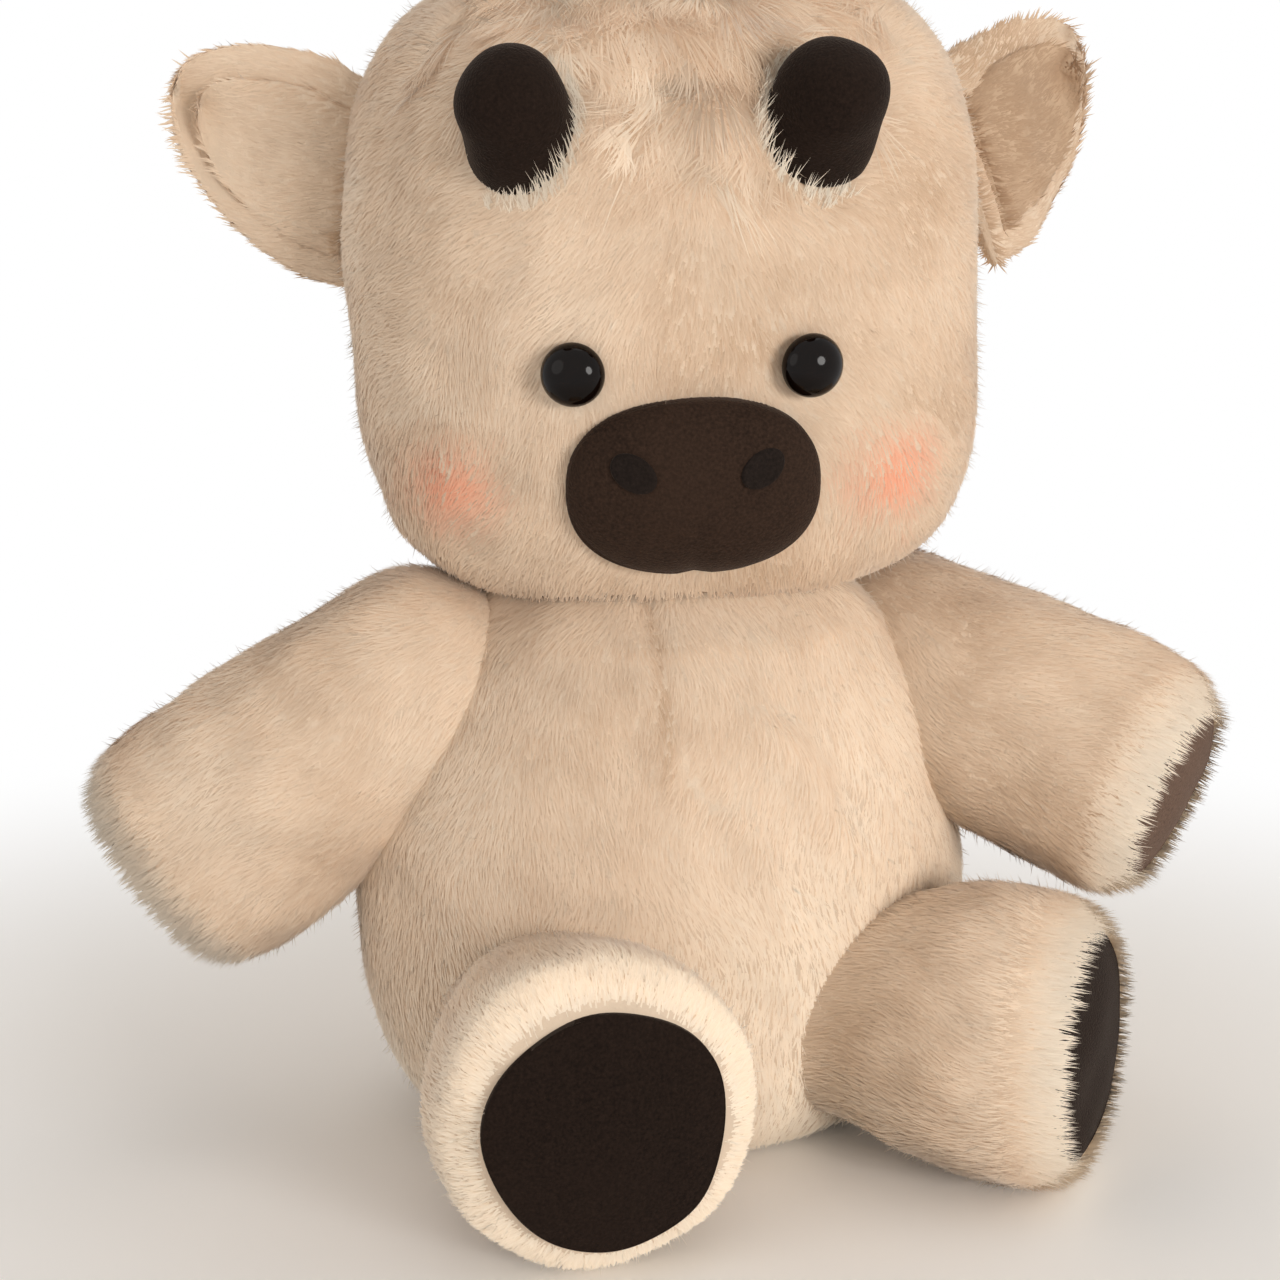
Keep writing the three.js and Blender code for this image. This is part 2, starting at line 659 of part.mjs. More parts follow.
function makeHead() {
  const group = placedGroup(cow, headFrame);
  const sides = [['right', -1, earRightUp, earRightBack], ['left', 1, earLeftUp, earLeftBack]];
  const neckRoom = (grow) => ballSolid(neckRadius + seamGap + grow, neckInHead, outerSteps.socket);
  const grooves = (grow) => sides.map(([, side, up]) => earGroove(side, up, grow));
  const eyes = sides.map(([, side]) => eyeSolids(side));
  const bulge = muzzleForm(-suedeWall - seamGap);
  const outer = cutAll(solidOf(headForm(0)).add(bulge), neckRoom(0), ...grooves(0));
  const inner = cutAll(solidOf(headForm(-pileWall)), neckRoom(pileWall), ...grooves(pileWall));
  const towardNeck = frameAlong(neckInHead.clone().negate(), backward);
  const neckOpening = solidOf(
    barGeometry(neckOpeningRadius, 0, neckRadius + pileWall + cutOverrun),
    towardNeck, at(neckInHead.x, neckInHead.y, neckInHead.z),
  );
  const cover = cutAll(outer, inner, neckOpening, ...eyes.map((eye) => eye.coverRoom));
  addPiece(group, 'head_cover', cover, cream);
  const fill = cutAll(
    solidOf(headForm(-pileWall - seamGap)), neckRoom(pileWall + seamGap), ...grooves(pileWall + seamGap),
  );
  addPiece(group, 'head_stuffing', cutAll(fill, ...eyes.map((eye) => eye.fillRoom)), filling);

  const skin = solidOf(headForm(seamGap));
  const hornBodies = (grow) => sides.map(([, side]) => solidOf(hornForm(grow), hornFrame(side)));
  const lock = new THREE.SphereGeometry(1, smallRound, smallRound).scale(forelockWidth / 2, forelockReach, forelockRise);
  lock.translate(0, forelockBack - headDepth / 2, headHeight / 2);
  const forelock = cutAll(
    solidOf(headForm(seamGap + forelockWall)).intersect(solidOf(lock)), skin, ...hornBodies(seamGap),
  );
  addPiece(group, 'forelock_panel', forelock, cream);

  const nostrilRooms = sides.map(([, side]) => nostrilSolid(side, seamGap));
  const muzzle = cutAll(muzzleForm(0), skin, muzzleForm(-suedeWall), ...nostrilRooms);
  addPiece(group, 'muzzle_panel', muzzle, suede);
  sides.forEach(([name, side, up, back], k) => {
    addPiece(group, `nostril_${name}`, nostrilSolid(side, 0), nostrilCloth);
    addPiece(group, `eye_${name}`, eyes[k].eye, gloss);
    addPiece(group, `eye_washer_${name}`, eyes[k].washer, hardPlastic);
    const place = hornFrame(side);
    const hornCover = cutAll(solidOf(hornForm(0), place), skin, solidOf(hornForm(-suedeWall), place));
    addPiece(group, `horn_${name}_cover`, hornCover, suede);
    const hornFill = solidOf(hornForm(-suedeWall - seamGap), place).subtract(skin);
    addPiece(group, `horn_${name}_stuffing`, hornFill, filling);
    makeEar(placedGroup(group, earFrame(side, up, back)), name, side);
  });
}

// An ear: a cupped back of pile fabric, and a lining panel let into its front
function makeEar(group, name, side) {
  const whole = solidOf(earForm(side, 0));
  const shift = at(0, -earThickness * liningForwardShare, earLength * liningOutShare);
  const lining = solidOf(earForm(side, -seamGap, liningSizeShare), shift);
  const liningRoom = solidOf(earForm(side, 0, liningSizeShare), shift);
  addPiece(group, `ear_${name}_back`, whole.subtract(liningRoom), cream);
  addPiece(group, `ear_${name}_lining`, lining.intersect(whole), cream);
}

// Tail: a drooping tube from a small ball on the back seam, and its tuft
function makeTail() {
  const stand = bodyDepth / 2 + tailRootGap + tailRootRadius;
  const droop = degToRad(tailDroop);
  const direction = new THREE.Vector3(0, Math.cos(droop), -Math.sin(droop));
  const frame = frameAlong(direction, upward).premultiply(at(0, stand, tailRootHeight)).premultiply(bodyFrame);
  const group = placedGroup(cow, frame);
  const radius = tailDiameter / 2;
  const end = tailLength - tuftLength / 2;
  const rings = rootRings(tailRootRadius, outerSteps.root, Math.acos(radius / tailRootRadius));
  rings.push({ a: radius * tailTaperShare, b: radius * tailTaperShare, z: end });
  addPiece(group, 'tail_tube', solidOf(ringGeometry(rings, -tailRootRadius, end, fewRound)), cream);
  const tuft = new THREE.SphereGeometry(1, fewRound, fewRound).rotateX(QUARTER_TURN);
  tuft.scale(tuftDiameter / 2, tuftDiameter / 2, tuftLength / 2).translate(0, 0, tailLength + seamGap);
  addPiece(group, 'tail_tuft', solidOf(tuft), cream);
}

makeBody();
for (const limb of limbs) {
  const isArm = limb.shape === arm;
  const side = limb.name.split('_')[1];
  const padName = `${isArm ? 'hand' : 'foot'}_pad_${side}`;
  makeLimb(limb, padName, isArm ? handPadWidth : footPadDiameter, isArm ? handPadDepth : footPadDiameter);
}
makeHead();
makeTail();

export default cow;
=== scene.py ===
"""Looks of a seated plush cow: stuffed skins with their combed pile, suede pads, horns and muzzle, and button eyes.

Everything is in metres, +Z up. The cow faces -Y and its own left side is +X.
"""

import math
from itertools import product

import bpy
import numpy as np
from mathutils import Matrix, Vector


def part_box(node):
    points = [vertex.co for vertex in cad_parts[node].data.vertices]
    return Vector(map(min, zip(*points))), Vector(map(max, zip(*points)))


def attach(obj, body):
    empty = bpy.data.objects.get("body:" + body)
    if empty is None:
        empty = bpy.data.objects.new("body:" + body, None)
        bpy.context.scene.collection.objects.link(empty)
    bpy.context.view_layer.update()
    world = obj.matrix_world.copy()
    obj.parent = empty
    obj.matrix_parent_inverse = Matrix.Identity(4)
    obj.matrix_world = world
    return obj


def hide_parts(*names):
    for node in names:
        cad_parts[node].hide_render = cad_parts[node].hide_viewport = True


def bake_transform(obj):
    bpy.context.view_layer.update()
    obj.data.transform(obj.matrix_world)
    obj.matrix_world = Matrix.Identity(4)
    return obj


bl_info = {
    "name": "Seated plush cow",
    "version": (1, 0, 0),
    "blender": (4, 5, 0),
    "location": "3D View > Sidebar > Plush cow",
    "description": "Builds the stuffed skins, pile and trim of a seated plush cow on its fixed frame",
    "category": "Object",
}

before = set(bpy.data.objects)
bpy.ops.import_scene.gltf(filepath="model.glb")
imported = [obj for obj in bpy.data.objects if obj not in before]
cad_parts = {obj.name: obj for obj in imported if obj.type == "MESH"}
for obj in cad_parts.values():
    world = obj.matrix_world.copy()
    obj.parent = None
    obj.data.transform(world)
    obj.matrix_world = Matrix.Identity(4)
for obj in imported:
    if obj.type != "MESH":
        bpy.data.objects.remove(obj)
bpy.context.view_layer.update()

MM = 0.001
SIDES = {"right": -1, "left": 1}
BACKWARD = np.array((0.0, 1.0, 0.0))
UPWARD = np.array((0.0, 0.0, 1.0))

SKIN_FLOOR = 0.8 * MM  # skins stay this far above the ground
TUFT_FLOOR = 0.4 * MM  # and tufts this far
HIDDEN = 0.5 * MM  # no pile grows deeper than this inside another cover's skin
SOFT_SQUARE = 2.35  # power of the muzzle's and the horns' rounded outlines


# Sizes and colours that a user can change


def length(name, millimetres, description):
    """A size kept in metres and written here in millimetres."""
    return bpy.props.FloatProperty(
        name=name, description=description, default=millimetres * MM, unit="LENGTH", precision=4
    )


def angle(name, degrees, description):
    """An angle kept in radians and written here in degrees."""
    return bpy.props.FloatProperty(
        name=name, description=description, default=math.radians(degrees), subtype="ANGLE"
    )


def amount(name, value, description):
    """A plain number: a power, a share or a count for each square centimetre."""
    return bpy.props.FloatProperty(name=name, description=description, default=value)


def colour(name, screen, description):
    """A colour kept as linear light and written here as red, green and blue out of 255 on a screen."""
    linear = [((c / 255 + 0.055) / 1.055) ** 2.4 if c > 10 else c / 255 / 12.92 for c in screen]
    return bpy.props.FloatVectorProperty(
        name=name, description=description, default=linear, subtype="COLOR", size=3, min=0, max=1
    )


class CowBody(bpy.types.PropertyGroup):
    """Sizes of the body."""

    width: length("Width", 146, "Across the widest part of the body")
    depth: length("Depth", 118, "Front to back at the widest part")
    turn: angle("Turn", 10, "How far the body is turned from the way the head faces")
    neck_height: length("Neck height", 74.5, "Middle of the ball that the head turns on")
    neck_radius: length("Neck radius", 69, "Radius of the ball that the head turns on")
    dome_start: angle("Dome start", 42, "Where the body's side runs into the ball")
    seam_depth: length("Seam depth", 1.6, "How deep the front seam draws the skin in")
    seam_shift: length("Seam shift", -13.5, "How far the front seam is sewn off the body's middle")
    fold_depth: length("Fold depth", 2.6, "Height of the soft folds on the belly")


class CowHead(bpy.types.PropertyGroup):
    """Sizes of the head."""

    width: length("Width", 144, "Across the head")
    depth: length("Depth", 122, "Front to back of the head")
    height: length("Height", 141, "Chin to crown")
    centre_height: length("Centre height", 196, "Middle of the head above the ground")
    forward: length("Forward", 3, "How far the head sits in front of the body")
    tip: angle("Tip", 8, "How far the face looks down")
    tilt: angle("Tilt", 2, "How far the head leans to its right")
    plan_power: amount("Plan power", 2.35, "How square the head is seen from above")
    crown_power: amount("Crown power", 2.8, "How square the upper half is seen from the front")
    jaw_power: amount("Jaw power", 3.9, "How square the lower half is seen from the front")


class CowFace(bpy.types.PropertyGroup):
    """Sizes of the eyes, muzzle, nostrils, horns and blush."""

    eye_diameter: length("Eye", 13, "Diameter of a button eye")
    eye_bulge: length("Eye bulge", 5, "How far an eye stands out")
    eye_spacing: length("Eye spacing", 48, "Between the middles of the eyes")
    eye_drop: length("Eye drop", 10.5, "Eyes below the middle of the head")
    shank_diameter: length("Shank", 4, "Diameter of the shank behind an eye")
    shank_length: length("Shank length", 11, "Length of the shank behind an eye")
    muzzle_width: length("Muzzle width", 52.5, "Across the muzzle panel")
    muzzle_height: length("Muzzle height", 38, "Height of the muzzle panel")
    muzzle_bulge: length("Muzzle bulge", 8, "How far the muzzle stands out")
    muzzle_drop: length("Muzzle drop", 35, "Muzzle below the middle of the head")
    nostril_length: length("Nostril length", 10.5, "Long side of a nostril patch")
    nostril_width: length("Nostril width", 7.5, "Short side of a nostril patch")
    nostril_spacing: length("Nostril spacing", 26, "Between the middles of the nostrils")
    nostril_rise: length("Nostril rise", 5.5, "Nostrils above the middle of the muzzle")
    nostril_tilt: angle("Nostril tilt", 35, "How far a nostril leans")
    horn_diameter: length("Horn", 23, "Diameter of a horn")
    horn_length: length("Horn length", 16, "How far a horn stands out")
    horn_spacing: length("Horn spacing", 60, "Between the roots of the horns")
    horn_shift: length("Horn shift", -3, "How far both horns are sewn off the face's middle")
    horn_rise: length("Horn rise", 38, "Horn roots above the middle of the head")
    horn_lean: angle("Horn lean", 45, "How far a horn points forward")
    horn_splay: angle("Horn splay", 10, "How far a horn points outward")
    horn_root: length("Horn root", 8, "How deep a horn is sunk in the head")
    blush_spacing: length("Blush spacing", 93, "Between the two blushed cheeks")
    blush_shift: length("Blush shift", -3, "Middle of the two blushes off the face's middle")
    blush_drop: length("Blush drop", 34.5, "Blushed cheeks below the middle of the head")
    blush_radius: length("Blush radius", 9, "Size of a blushed cheek")


class CowEars(bpy.types.PropertyGroup):
    """Sizes of the ears."""

    length: length("Length", 35, "Seam to tip of an ear")
    height: length("Height", 47, "Across an ear")
    thickness: length("Thickness", 11, "Front to back of an ear with its pile")
    cup: length("Cup", 5, "How far the rim of an ear comes forward")
    curl: length("Curl", 4, "How far the tip of an ear comes forward")
    sweep: length("Sweep", 9, "How far the tip of an ear is swept up")
    flare: length("Flare", 3.5, "How far the lower edge widens where it meets the head")
    root_sunk: length("Root sunk", 11, "How deep an ear's root runs into the head")
    root_rise: length("Root rise", 27, "Ear seam above the middle of the head")
    standoff: length("Standoff", 3.5, "Line that an ear folds on, outside the head")
    right_up: angle("Right up", 14, "How far the right ear points up")
    right_back: angle("Right back", 0, "How far the right ear is folded back")
    left_up: angle("Left up", 22, "How far the left ear points up")
    left_back: angle("Left back", 32, "How far the left ear is folded back")


class CowLimbs(bpy.types.PropertyGroup):
    """Sizes of the arms, legs and tail."""

    arm_root: length("Arm root", 24.5, "Radius of an arm at its seam")
    arm_width: length("Arm width", 60, "Width of an arm at the paw")
    arm_depth: length("Arm depth", 49, "Depth of an arm at the paw")
    arm_length: length("Arm length", 74, "Seam to paw")
    shoulder_fullness: length("Shoulder fullness", 3.5, "How far the filling swells an arm at its seam")
    arm_spacing: length("Shoulder spacing", 116, "Between the shoulder seams")
    arm_height: length("Shoulder height", 105, "Shoulder seams above the ground")
    arm_forward: length("Shoulder forward", 4, "Shoulder seams in front of the body's middle")
    arm_right_down: angle("Right arm down", 35, "How far the right arm points down")
    arm_right_forward: angle("Right arm forward", 0, "How far the right arm points forward")
    arm_left_down: angle("Left arm down", 18, "How far the left arm points down")
    arm_left_forward: angle("Left arm forward", 40, "How far the left arm points forward")
    hand_width: length("Hand pad width", 40, "Long side of a hand pad")
    hand_depth: length("Hand pad depth", 33, "Short side of a hand pad")
    leg_root: length("Leg root", 26, "Radius of a leg at its seam")
    leg_width: length("Leg width", 67, "Width of a leg at the foot")
    leg_depth: length("Leg height", 66, "Height of a leg at the foot")
    leg_length: length("Leg length", 56, "Seam to sole")
    leg_spacing: length("Hip spacing", 70, "Between the hip seams")
    leg_forward: length("Hip forward", 38, "Hip seams in front of the body's middle")
    leg_height: length("Hip height", 32.5, "Hip seams above the ground")
    leg_right_yaw: angle("Right leg yaw", -9, "How far the right leg points outward")
    leg_left_yaw: angle("Left leg yaw", 58, "How far the left leg points outward")
    foot_pad: length("Foot pad", 48.5, "Diameter of a foot pad")
    tail_root_radius: length("Tail root", 6, "Radius of the tail's root")
    tail_length: length("Tail length", 40, "Root to the middle of the tuft")
    tail_height: length("Tail height", 47, "Root of the tail above the ground")
    tail_droop: angle("Tail droop", 42, "How far the tail hangs")


class CowPile(bpy.types.PropertyGroup):
    """Sizes of the pile."""

    depth: length("Pile depth", 1.4, "Skin below the tips of the pile")
    strand_length: length("Strand", 4.6, "Length of a tuft of the short pile")
    strand_width: length("Strand width", 0.46, "Width of a tuft of the short pile")
    density: amount("Density", 170, "Tufts of short pile on a square centimetre")
    long_strand: length("Long strand", 11, "Length of the combed pile on the crown")
    clump: length("Clump", 5, "Size of a clump of short pile")
    cuff: length("Cuff", 5.8, "Length of the tufts that stand round a pad")


class CowColours(bpy.types.PropertyGroup):
    """Colours of the cloths and the eyes."""

    pile_light: colour("Pile light", (254, 241, 222), "Where the pile catches the light")
    pile_middle: colour("Pile", (232, 210, 186), "The pile's main colour")
    # the darker end of the pile's tints: random darker patches, and painted shade where a piece's tint is lowered by
    # place
    pile_dark: colour("Pile dark", (209, 181, 153), "Darker patches, and painted shade where the tint is lowered")
    # painted shade: the darkest cream, for the hollows of the ears where shade falls
    pile_painted_shade: colour("Pile shade", (180, 150, 122), "Inside the ears")
    blush: colour("Blush", (245, 174, 142), "Middle of a blushed cheek")
    suede: colour("Suede", (27, 18, 13), "Pads and horns")
    suede_light: colour("Suede light", (40, 29, 23), "Suede with its nap brushed over")
    muzzle: colour("Muzzle", (42, 30, 23), "Muzzle panel")
    # painted sheen: the hand pads are the same suede as the other pads, painted paler to stand in for light glancing
    # off their nap
    hand_pad: colour("Hand pad", (92, 73, 62), "Hand pads, paler with a painted sheen")
    nostril: colour("Nostril", (27, 21, 18), "Nostril patches")
    eye: colour("Eye", (11, 5, 3), "Button eyes")
    floor: colour("Floor", (252, 251, 250), "Floor and backdrop")


GROUPS = {
    "cow_body": CowBody,
    "cow_head": CowHead,
    "cow_face": CowFace,
    "cow_ears": CowEars,
    "cow_limbs": CowLimbs,
    "cow_pile": CowPile,
    "cow_colours": CowColours,
}


# Arithmetic on arrays of points


def unit(vectors):
    """Each vector divided by its length."""
    return vectors / np.maximum(np.linalg.norm(vectors, axis=-1, keepdims=True), 1e-12)


def mix(low, high, share):
    """Low at share 0, high at share 1, in a straight line between."""
    return low + (high - low) * share


def ease(share):
    """3t^2 - 2t^3, held at 0 below 0 and at 1 above 1."""
    share = np.clip(share, 0, 1)
    return share * share * (3 - 2 * share)


def onset(value, start, width):
    """0 up to start and 1 from width past it, eased between."""
    return ease((value - start) / width)


def bump(distance, width):
    """A bell: e to the minus square of distance over width."""
    return np.exp(-((distance / width) ** 2))


def flat_to(vectors, normals):
    """The part of each vector that lies in the skin."""
    return vectors - normals * np.sum(vectors * normals, axis=-1, keepdims=True)


def waves(points, size, seed, count=9):
    """Smooth noise from about -1 to 1: the sum of sine waves about size long, in random directions."""
    rng = np.random.default_rng(seed)
    total = np.zeros(points.shape[:-1])
    for _ in range(count):
        direction = unit(rng.normal(size=3)) * 2 * math.pi / (size * rng.uniform(0.7, 1.5))
        total = total + np.sin(points @ direction + rng.uniform(0, 2 * math.pi))
    return total / math.sqrt(count)


def scattered(cells, seed):
    """Three numbers from 0 to 1 for each whole-numbered cell, mixed from its three indices."""
    primes = np.array((73856093, 19349663, 83492791), dtype=np.uint64)
    key = (cells.astype(np.int64).astype(np.uint64) * primes).sum(axis=-1) + np.uint64(seed * 2654435761)
    numbers = []
    for turn in (1, 2, 3):
        value = key * np.uint64(6364136223846793005) + np.uint64(1442695040888963407 * turn)
        value ^= value >> np.uint64(33)
        value = value * np.uint64(0xFF51AFD7ED558CCD)
        value ^= value >> np.uint64(29)
        numbers.append((value >> np.uint64(11)).astype(float) / 2**53)
    return np.stack(numbers, axis=-1)


def clump_middles(points, size, seed):
    """The nearest of one random place in each cube of a lattice, for each point."""
    cell = np.floor(points / size)
    best = np.full(len(points), np.inf)
    middles = np.zeros_like(points)
    for offset in product((-1, 0, 1), repeat=3):
        there = cell + offset
        place = (there + scattered(there, seed)) * size
        gap = np.sum((points - place) ** 2, axis=1)
        nearer = gap < best
        best[nearer] = gap[nearer]
        middles[nearer] = place[nearer]
    return middles


def frame_along(direction, guide, place=(0, 0, 0)):
    """A 4x4 frame with Z along direction, Y as near as can be to guide, X = Y x Z, and its origin at place."""
    z = unit(np.asarray(direction, float))
    y = unit(guide - z * (guide @ z))
    made = np.eye(4)
    made[:3, :3] = np.column_stack((np.cross(y, z), y, z))
    made[:3, 3] = place
    return made


def rotation(turn, axis):
    """The 4x4 turn about a main axis."""
    return np.array(Matrix.Rotation(turn, 4, axis))


def shift(place):
    """The 4x4 move to a place."""
    return np.array(Matrix.Translation(place))


def placed(points, matrix):
    """Points carried by a 4x4 matrix."""
    return points @ matrix[:3, :3].T + matrix[:3, 3]


def into(points, matrix):
    """World points in the frame of a 4x4 matrix."""
    return placed(points, np.linalg.inv(matrix))


def through(stations, count):
    """Count rows on a smooth line through the stations: a cubic between each two, with slopes from their neighbours."""
    stations = np.asarray(stations, float)
    padded = np.vstack((stations[0], stations, stations[-1]))
    place = np.linspace(0, len(stations) - 1, count)
    start = np.minimum(place.astype(int), len(stations) - 2)
    t = (place - start)[:, None]
    before, first, last, after = (padded[start + k] for k in range(4))
    return 0.5 * (
        2 * first
        + (last - before) * t
        + (2 * before - 5 * first + 4 * last - after) * t**2
        + (3 * first - before - 3 * last + after) * t**3
    )


# Skins: closed grids of points, from one pole to the other


class Skin:
    """A grid of rows from pole to pole, each row going once round, with its tangents and outward normals."""

    def __init__(self, points):
        self.points = points
        loop = points[:, :-1]
        around = np.roll(loop, -1, axis=1) - np.roll(loop, 1, axis=1)
        around = np.concatenate((around, around[:, :1]), axis=1)
        along = np.gradient(points, axis=0)
        normals = np.cross(around, along)
        normals[0] = normals[1].mean(axis=0)
        normals[-1] = normals[-2].mean(axis=0)
        self.along, self.normals = unit(along), unit(normals)

    def pushed(self, distance):
        """The same skin with each point moved along its normal."""
        return Skin(self.points + self.normals * distance[..., None])


def rounded(turn, power):
    """Cosine and sine, each to the power 2/power with its sign kept: a circle at 2, and squarer as power grows."""
    circle = np.stack((np.cos(turn), np.sin(turn)))
    return np.abs(circle) ** (2 / power) * np.sign(circle)


def disc(back_rows, front, columns):
    """Reach from the middle in each row of a closed disc, back and then front, which rows are back, and the turns."""
    reach = np.concatenate((np.linspace(0, 1, back_rows), front[1:]))[:, None]
    return reach, np.arange(len(reach))[:, None] < back_rows, np.linspace(0, 2 * math.pi, columns + 1)


def ring_skin(across, deep, height, columns=96, power=2.0, middle_y=0.0, cup=0.0):
    """Rows of half widths (across, deep) at each height: across cos^(2/power), deep sin^(2/power), signs kept.

    A row's middle is moved by middle_y, and its sides are bent by cup times the square of their share across.
    """
    shape = rounded(np.linspace(0, 2 * math.pi, columns + 1), power)
    column = [np.broadcast_to(np.asarray(v, float), height.shape)[:, None] for v in (across, deep, middle_y, cup)]
    x = column[0] * shape[0]
    y = column[1] * shape[1] + column[2] - column[3] * shape[0] ** 2
    z = np.broadcast_to(height[:, None], x.shape)
    return np.stack((x, y, z), axis=-1)


def mesh_object(name, points, corners, starts, material):
    """A mesh object at the origin from flat arrays of points, face corners and where each face starts."""
    mesh = bpy.data.meshes.new(name)
    mesh.vertices.add(len(points))
    mesh.vertices.foreach_set("co", points.astype(np.float32).ravel())
    mesh.loops.add(len(corners))
    mesh.loops.foreach_set("vertex_index", corners.astype(np.int32))
    mesh.polygons.add(len(starts))
    mesh.polygons.foreach_set("loop_start", starts.astype(np.int32))
    mesh.polygons.foreach_set("use_smooth", np.ones(len(starts), dtype=bool))
    mesh.update(calc_edges=True)
    mesh.materials.append(material)
    made = bpy.data.objects.new(name, mesh)
    bpy.context.scene.collection.objects.link(made)
    return made


def skin_object(name, skin, finish):
    """A closed mesh from a skin: one point at each pole, triangles there, and four-sided faces between."""
    grid = skin.points
    rows, columns = grid.shape[0] - 2, grid.shape[1] - 1
    points = np.vstack((grid[0, :1], grid[1:-1, :-1].reshape(-1, 3), grid[-1, :1]))
    here = np.arange(columns)
    after = (here + 1) % columns
    row = np.arange(rows - 1)[:, None] * columns + 1
    quads = np.stack((row + here, row + after, row + columns + after, row + columns + here), axis=-1).reshape(-1, 4)
    last = (rows - 1) * columns + 1
    low = np.stack((np.zeros(columns, int), 1 + after, 1 + here), axis=-1)
    high = np.stack((np.full(columns, len(points) - 1), last + here, last + after), axis=-1)
    corners = np.concatenate((low.ravel(), quads.ravel(), high.ravel()))
    starts = np.concatenate((
        np.arange(columns) * 3,
        3 * columns + np.arange(len(quads)) * 4,
        3 * columns + len(quads) * 4 + np.arange(columns) * 3,
    ))
    return mesh_object(name, points, corners, starts, finish_of(finish))


# Pile: flat tapered tufts grown on a skin


def roots_on(skin, seed, share=1.0):
    """Random places on a skin, as many in each cell as its share of the area, with normal and tangent there."""
    rng = np.random.default_rng(seed)
    grid = skin.points
    a, b, c, d = grid[:-1, :-1], grid[1:, :-1], grid[:-1, 1:], grid[1:, 1:]
    halves = [np.linalg.norm(np.cross(b - corner, c - corner), axis=-1) for corner in (a, d)]
    area = sum(halves)
    square_centimetres = sum(half.sum() for half in halves) / 2 * 1e4
    count = int(square_centimetres * bpy.context.scene.cow_pile.density * share)
    cell = rng.choice(area.size, count, p=area.ravel() / area.sum())
    i, j = np.divmod(cell, area.shape[1])
    s, t = rng.random((2, len(cell), 1))

    def between(values):
        """What a grid of values is at each root, from the four corners of its cell."""
        return mix(mix(values[i, j], values[i + 1, j], s), mix(values[i, j + 1], values[i + 1, j + 1], s), t)

    return {"place": between(grid), "normal": unit(between(skin.normals)), "along": unit(between(skin.along))}


def kept(roots, keep):
    """The roots for which keep is true."""
    return {name: values[keep] for name, values in roots.items()}


TINTS = 32
CREAM_TINTS = 24


def nap(points, size, seed):
    """A smooth random vector at each point: the pile is brushed this way and that over about size."""
    return np.stack([waves(points, size, seed + k, 6) for k in (0, 7, 14)], axis=-1)


def tint_columns(count, tint, blush, rng):
    """Column of the tint strip for each tuft: a cream one by its tint, or a coral one where there is blush."""
    cream = np.clip(tint + rng.normal(size=count) * 0.04, 0, 0.999) * CREAM_TINTS
    coral = CREAM_TINTS + np.clip(blush + rng.normal(size=count) * 0.04, 0, 0.999) * (TINTS - CREAM_TINTS)
    return np.floor(np.where(np.broadcast_to(blush, count) > 0.02, coral, cream))


def blades(roots, comb, size, width, seed, tint=0.5, blush=0.0, lift=0.3, bend=0.9, clump=0.006, pull=0.15,
           stray=0.14, segments=2, brushed=0.1, brush=0.014):
    """Lying tufts as flat blades: each leaves the skin at an angle of lift and bends down along comb as it goes.

    The angle falls from lift to lift * (1 - bend) at the tip, the tips are drawn toward the middle of their clump,
    and the blade is width * (1 - t)^0.6 wide. It is shaded as the skin is, turned by brushed times the nap.
    """
    rng = np.random.default_rng(seed)
    place, normal = roots["place"], roots["normal"]
    count = len(place)
    size = np.broadcast_to(size, count) * rng.uniform(0.75, 1.15, count)
    comb = unit(flat_to(comb, normal))
    comb = unit(comb + flat_to(rng.normal(size=(count, 3)), normal) * stray)
    lift = np.broadcast_to(lift, count) * rng.uniform(0.7, 1.3, count)
    draw = flat_to(clump_middles(place, clump, seed) - place, normal) * pull
    side = unit(np.cross(comb, normal) + normal * rng.normal(size=(count, 1)) * 0.1)
    points = np.zeros((count, 2 * segments + 1, 3))
    spine = place - normal * size[:, None] * 0.04
    for k in range(segments + 1):
        t = k / segments
        half = side * (width / 2) * (1 - t) ** 0.6
        here = spine + draw * t**1.5
        if k < segments:
            points[:, 2 * k] = here - half
            points[:, 2 * k + 1] = here + half
        else:
            points[:, 2 * k] = here
        rise = (lift * (1 - bend * (t + 0.5 / segments)))[:, None]
        spine = spine + (normal * np.sin(rise) + comb * np.cos(rise)) * (size / segments)[:, None]
    points[..., 2] = np.maximum(points[..., 2], TUFT_FLOOR)
    faces = [(2 * k, 2 * k + 1, 2 * k + 3, 2 * k + 2) for k in range(segments - 1)]
    faces.append((2 * segments - 2, 2 * segments - 1, 2 * segments))
    corner = np.arange(2 * segments + 1)
    return {
        "points": points, "faces": faces,
        "normals": unit(normal + brushed * nap(place, brush, 77) + 0.03 * rng.normal(size=(count, 3))),
        "across": np.where(corner == 2 * segments, 0.5, 0.1 + 0.8 * (corner % 2)),
        "along": (corner // 2) / segments * 0.98 + 0.01, "column": tint_columns(count, tint, blush, rng),
    }


